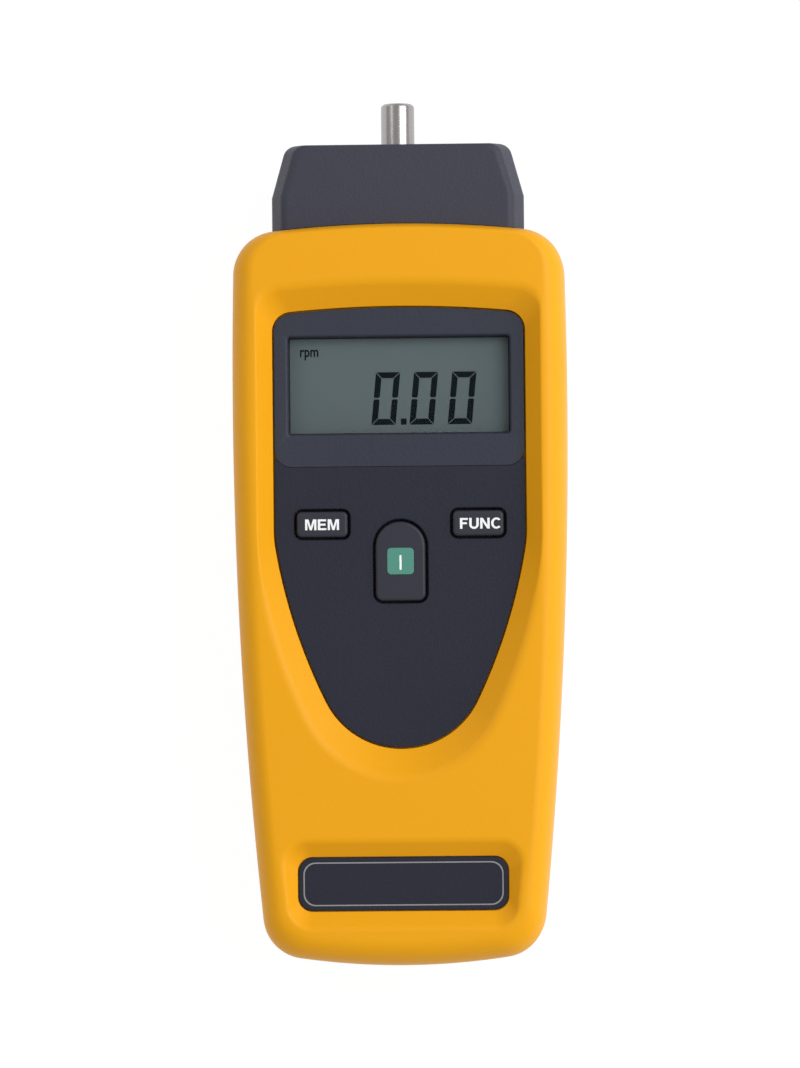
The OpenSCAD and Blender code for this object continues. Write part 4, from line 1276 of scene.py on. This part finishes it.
# %% [markdown]
# ## Turned and stamped parts from the frame
# Bearings, disc, clip, barrels and switch domes are already right as solids. Their meshes come as loose
# triangles, so a copy is merged and shaded smooth, and stands in for the node with a finer finish. Each
# switch dome keeps a mesh of its own.

# %% Smooth copies
def smooth_copy(node, name, finish):
    mesh = bmesh.new()
    mesh.from_mesh(frame["nodes"][node].data)
    bmesh.ops.remove_doubles(mesh, verts=mesh.verts, dist=1e-7)
    data = bpy.data.meshes.new(name)
    mesh.to_mesh(data)
    mesh.free()
    return dress(show(name, data), finish, node, sharp=30)


for end in ("rear", "front"):
    for race in ("outer", "inner"):
        smooth_copy(f"{end}_bearing_{race}", f"{end}_{race}_race", ring_steel)
smooth_copy("chopper_disc", "slotted_disc", anodised)
smooth_copy("shaft_clip", "retaining_clip", nickel)
smooth_copy("laser_module", "laser_barrel", brass)
smooth_copy("photo_sensor", "receiver_barrel", sensor_black)
for use in ("mem", "func", "power"):
    dome = smooth_copy(f"{use}_dome", f"{use}_switch", dome_rubber)
    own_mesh(dome)

# %% [markdown]
# ## Cells and springs
# Four slim cells lie head to tail. Each is turned from a profile with a crimped shoulder and a button,
# and its metal ends get the nickel finish. The springs are spirals from a Geometry Nodes tree, with a
# round wire swept along them.

# %% Cells
cell_r, cell_len, cell_pitch, cell_z, cell_seat, button_rise = 5.25, 44.5, 10.62, 7.55, 0.7, 0.8
sleeve_start, sleeve_stop = 0.3, 0.05


def battery(k):
    """A cell by its number: the even ones point up, the odd ones down."""
    x = (k - 1.5) * cell_pitch
    foot, sense = bay_top - cell_seat - cell_len, 1
    if k % 2:
        foot, sense = bay_foot + cell_seat + cell_len, -1
    ends = cell_len - button_rise
    profile = [
        (4.0, 0.25), (4.4, 0.0), (4.75, 0.0), (4.95, 0.3), (5.15, 0.35), (cell_r, 0.55),
        (cell_r, ends - 0.45), (5.1, ends - 0.15), (4.7, ends), (4.4, ends - 0.1), (4.2, ends - 0.35),
        (2.2, ends - 0.35), (1.9, ends - 0.1), (1.9, cell_len - 0.25), (1.65, cell_len),
    ]
    obj = lathe(f"cell_{k + 1}", [(r, foot + sense * y) for r, y in profile], x, cell_z)
    dress(obj, sleeve, f"battery_cell_{k + 1}", sharp=40)
    obj.data.materials.append(nickel.material)
    for face in obj.data.polygons:
        along = sense * (face.center.y / MM - FOOT - foot)
        face.material_index = 0 if sleeve_start < along < ends - sleeve_stop else 1


for k in range(4):
    battery(k)

# %% Springs
def spring_shape(p):
    spiral = p.add("GeometryNodeCurveSpiral", None, {
        "Resolution": 28, "Rotations": 3.5, "Start Radius": p.size("seat radius"),
        "End Radius": p.size("tip radius"), "Height": p.size("height"), "Reverse": False,
    })
    round_wire = {"Resolution": 10, "Radius": p.size("wire radius")}
    wire = p.add("GeometryNodeCurvePrimitiveCircle", None, round_wire)
    sweep = {"Curve": spiral, "Profile Curve": wire, "Fill Caps": True}
    return p.add("GeometryNodeCurveToMesh", None, sweep)


spring_sizes = {"seat radius": 3.7, "tip radius": 2.4, "height": 5.9, "wire radius": 0.35}
spring_seat = 0.9
coils = Pattern("spring", **spring_sizes)
seat_ends = (bay_foot + spring_seat, bay_top - spring_seat)
seats = [((k - 1.5) * cell_pitch, seat_ends[k % 2], cell_z) for k in range(4)]
turns = [(-math.pi / 2 if k % 2 == 0 else math.pi / 2, 0, 0) for k in range(4)]
springs = coils.grow("springs", spring_shape(coils), nickel, seats, turns)
dress(springs, nickel, "battery_springs", sharp=60)

# %% [markdown]
# ## Finishes for the solids that stay
# What is left are flat, plain pieces inside the case. They keep their solids and take a finish of their
# own.

# %% Solids that stay
inner_finishes = {"circuit_board": solder_mask, "lcd_connectors": strip_rubber, "battery_plates": nickel}
for node, finish in inner_finishes.items():
    frame["nodes"][node].data.materials.clear()
    frame["nodes"][node].data.materials.append(finish.material)
print("solids kept", len(inner_finishes))

# %% [markdown]
# ## Floor and light
# The picture's background is plain white. The floor is a wide pale sheet whose rim curves up, so that a
# low view has white behind it as well. It glows white only for the camera and in reflections, mixed with
# enough of its own surface to keep a soft shadow. Two soft boxes stand to the right and left, towards the
# shaft end, with the right one stronger. A third, low on the right, warms the flanks and stays out of
# reflections, so that the shaft keeps its dark stripe. A grey surround fills in.

# %% Floor
floor_flat, floor_curve, floor_drop = 2600, 400, 0.2
glow_strength, glow_share = 1.04, 0.93


def pale_floor():
    """A matt sheet that glows for the camera, in mirrors and through glass, and for no other ray."""
    finish = Finish("pale_floor", (0.86, 0.86, 0.86), Roughness=0.9)
    light = finish.add("ShaderNodeLightPath", out="Is Camera Ray")
    rays = light.socket.node.outputs
    direct = light.math("MAXIMUM", light, Wire(finish, rays["Is Glossy Ray"]))
    direct = direct.math("MAXIMUM", direct, Wire(finish, rays["Is Transmission Ray"]))
    glow = finish.add("ShaderNodeEmission", None, {"Color": (1, 1, 1, 1), "Strength": glow_strength})
    surface = Wire(finish, finish.shader.outputs[0])
    blend = finish.add("ShaderNodeMixShader", None, {0: direct * glow_share, 1: surface, 2: glow})
    finish.put(finish.nodes.nodes["Material Output"].inputs["Surface"], blend)
    return finish


angles = [math.pi / 2 * k / 12 for k in range(13)]
sweep = [(floor_curve * math.sin(a), floor_curve * (1 - math.cos(a))) for a in angles]
bowl = Skin()
rings = bowl.wall([(circle(0, -FOOT, floor_flat + out, 128), rise - floor_drop) for out, rise in sweep])
bowl.cap(rings[0])
floor = bowl.piece("floor")
floor.data.shade_smooth()
floor.data.materials.append(pale_floor().material)
print("floor", len(floor.data.polygons), "faces")

# %% Lamps and surround
surround_strength = 0.50


def soft_box(name, place, size, watts, mirrored=True):
    lamp = bpy.data.lights.new(name, "AREA")
    lamp.shape, lamp.size, lamp.energy = "SQUARE", size, watts
    obj = show(name, lamp)
    obj.location = place
    obj.visible_glossy = mirrored
    obj.rotation_mode = "QUATERNION"
    obj.rotation_quaternion = Vector(place).to_track_quat("Z", "Y")


soft_box("right_box", (0.60, 0.25, 0.79), 0.7, 5.9)
soft_box("right_wall", (0.90, 0.05, 0.26), 0.5, 2.4, mirrored=False)
soft_box("left_box", (-0.62, 0.42, 0.72), 0.4, 1.0)
world = bpy.data.worlds.new("surround")
bpy.context.scene.world = world
world.use_nodes = True
world.node_tree.nodes["Background"].inputs["Color"].default_value = (1, 1, 1, 1)
world.node_tree.nodes["Background"].inputs["Strength"].default_value = surround_strength
bpy.context.scene.view_settings.view_transform = "Standard"
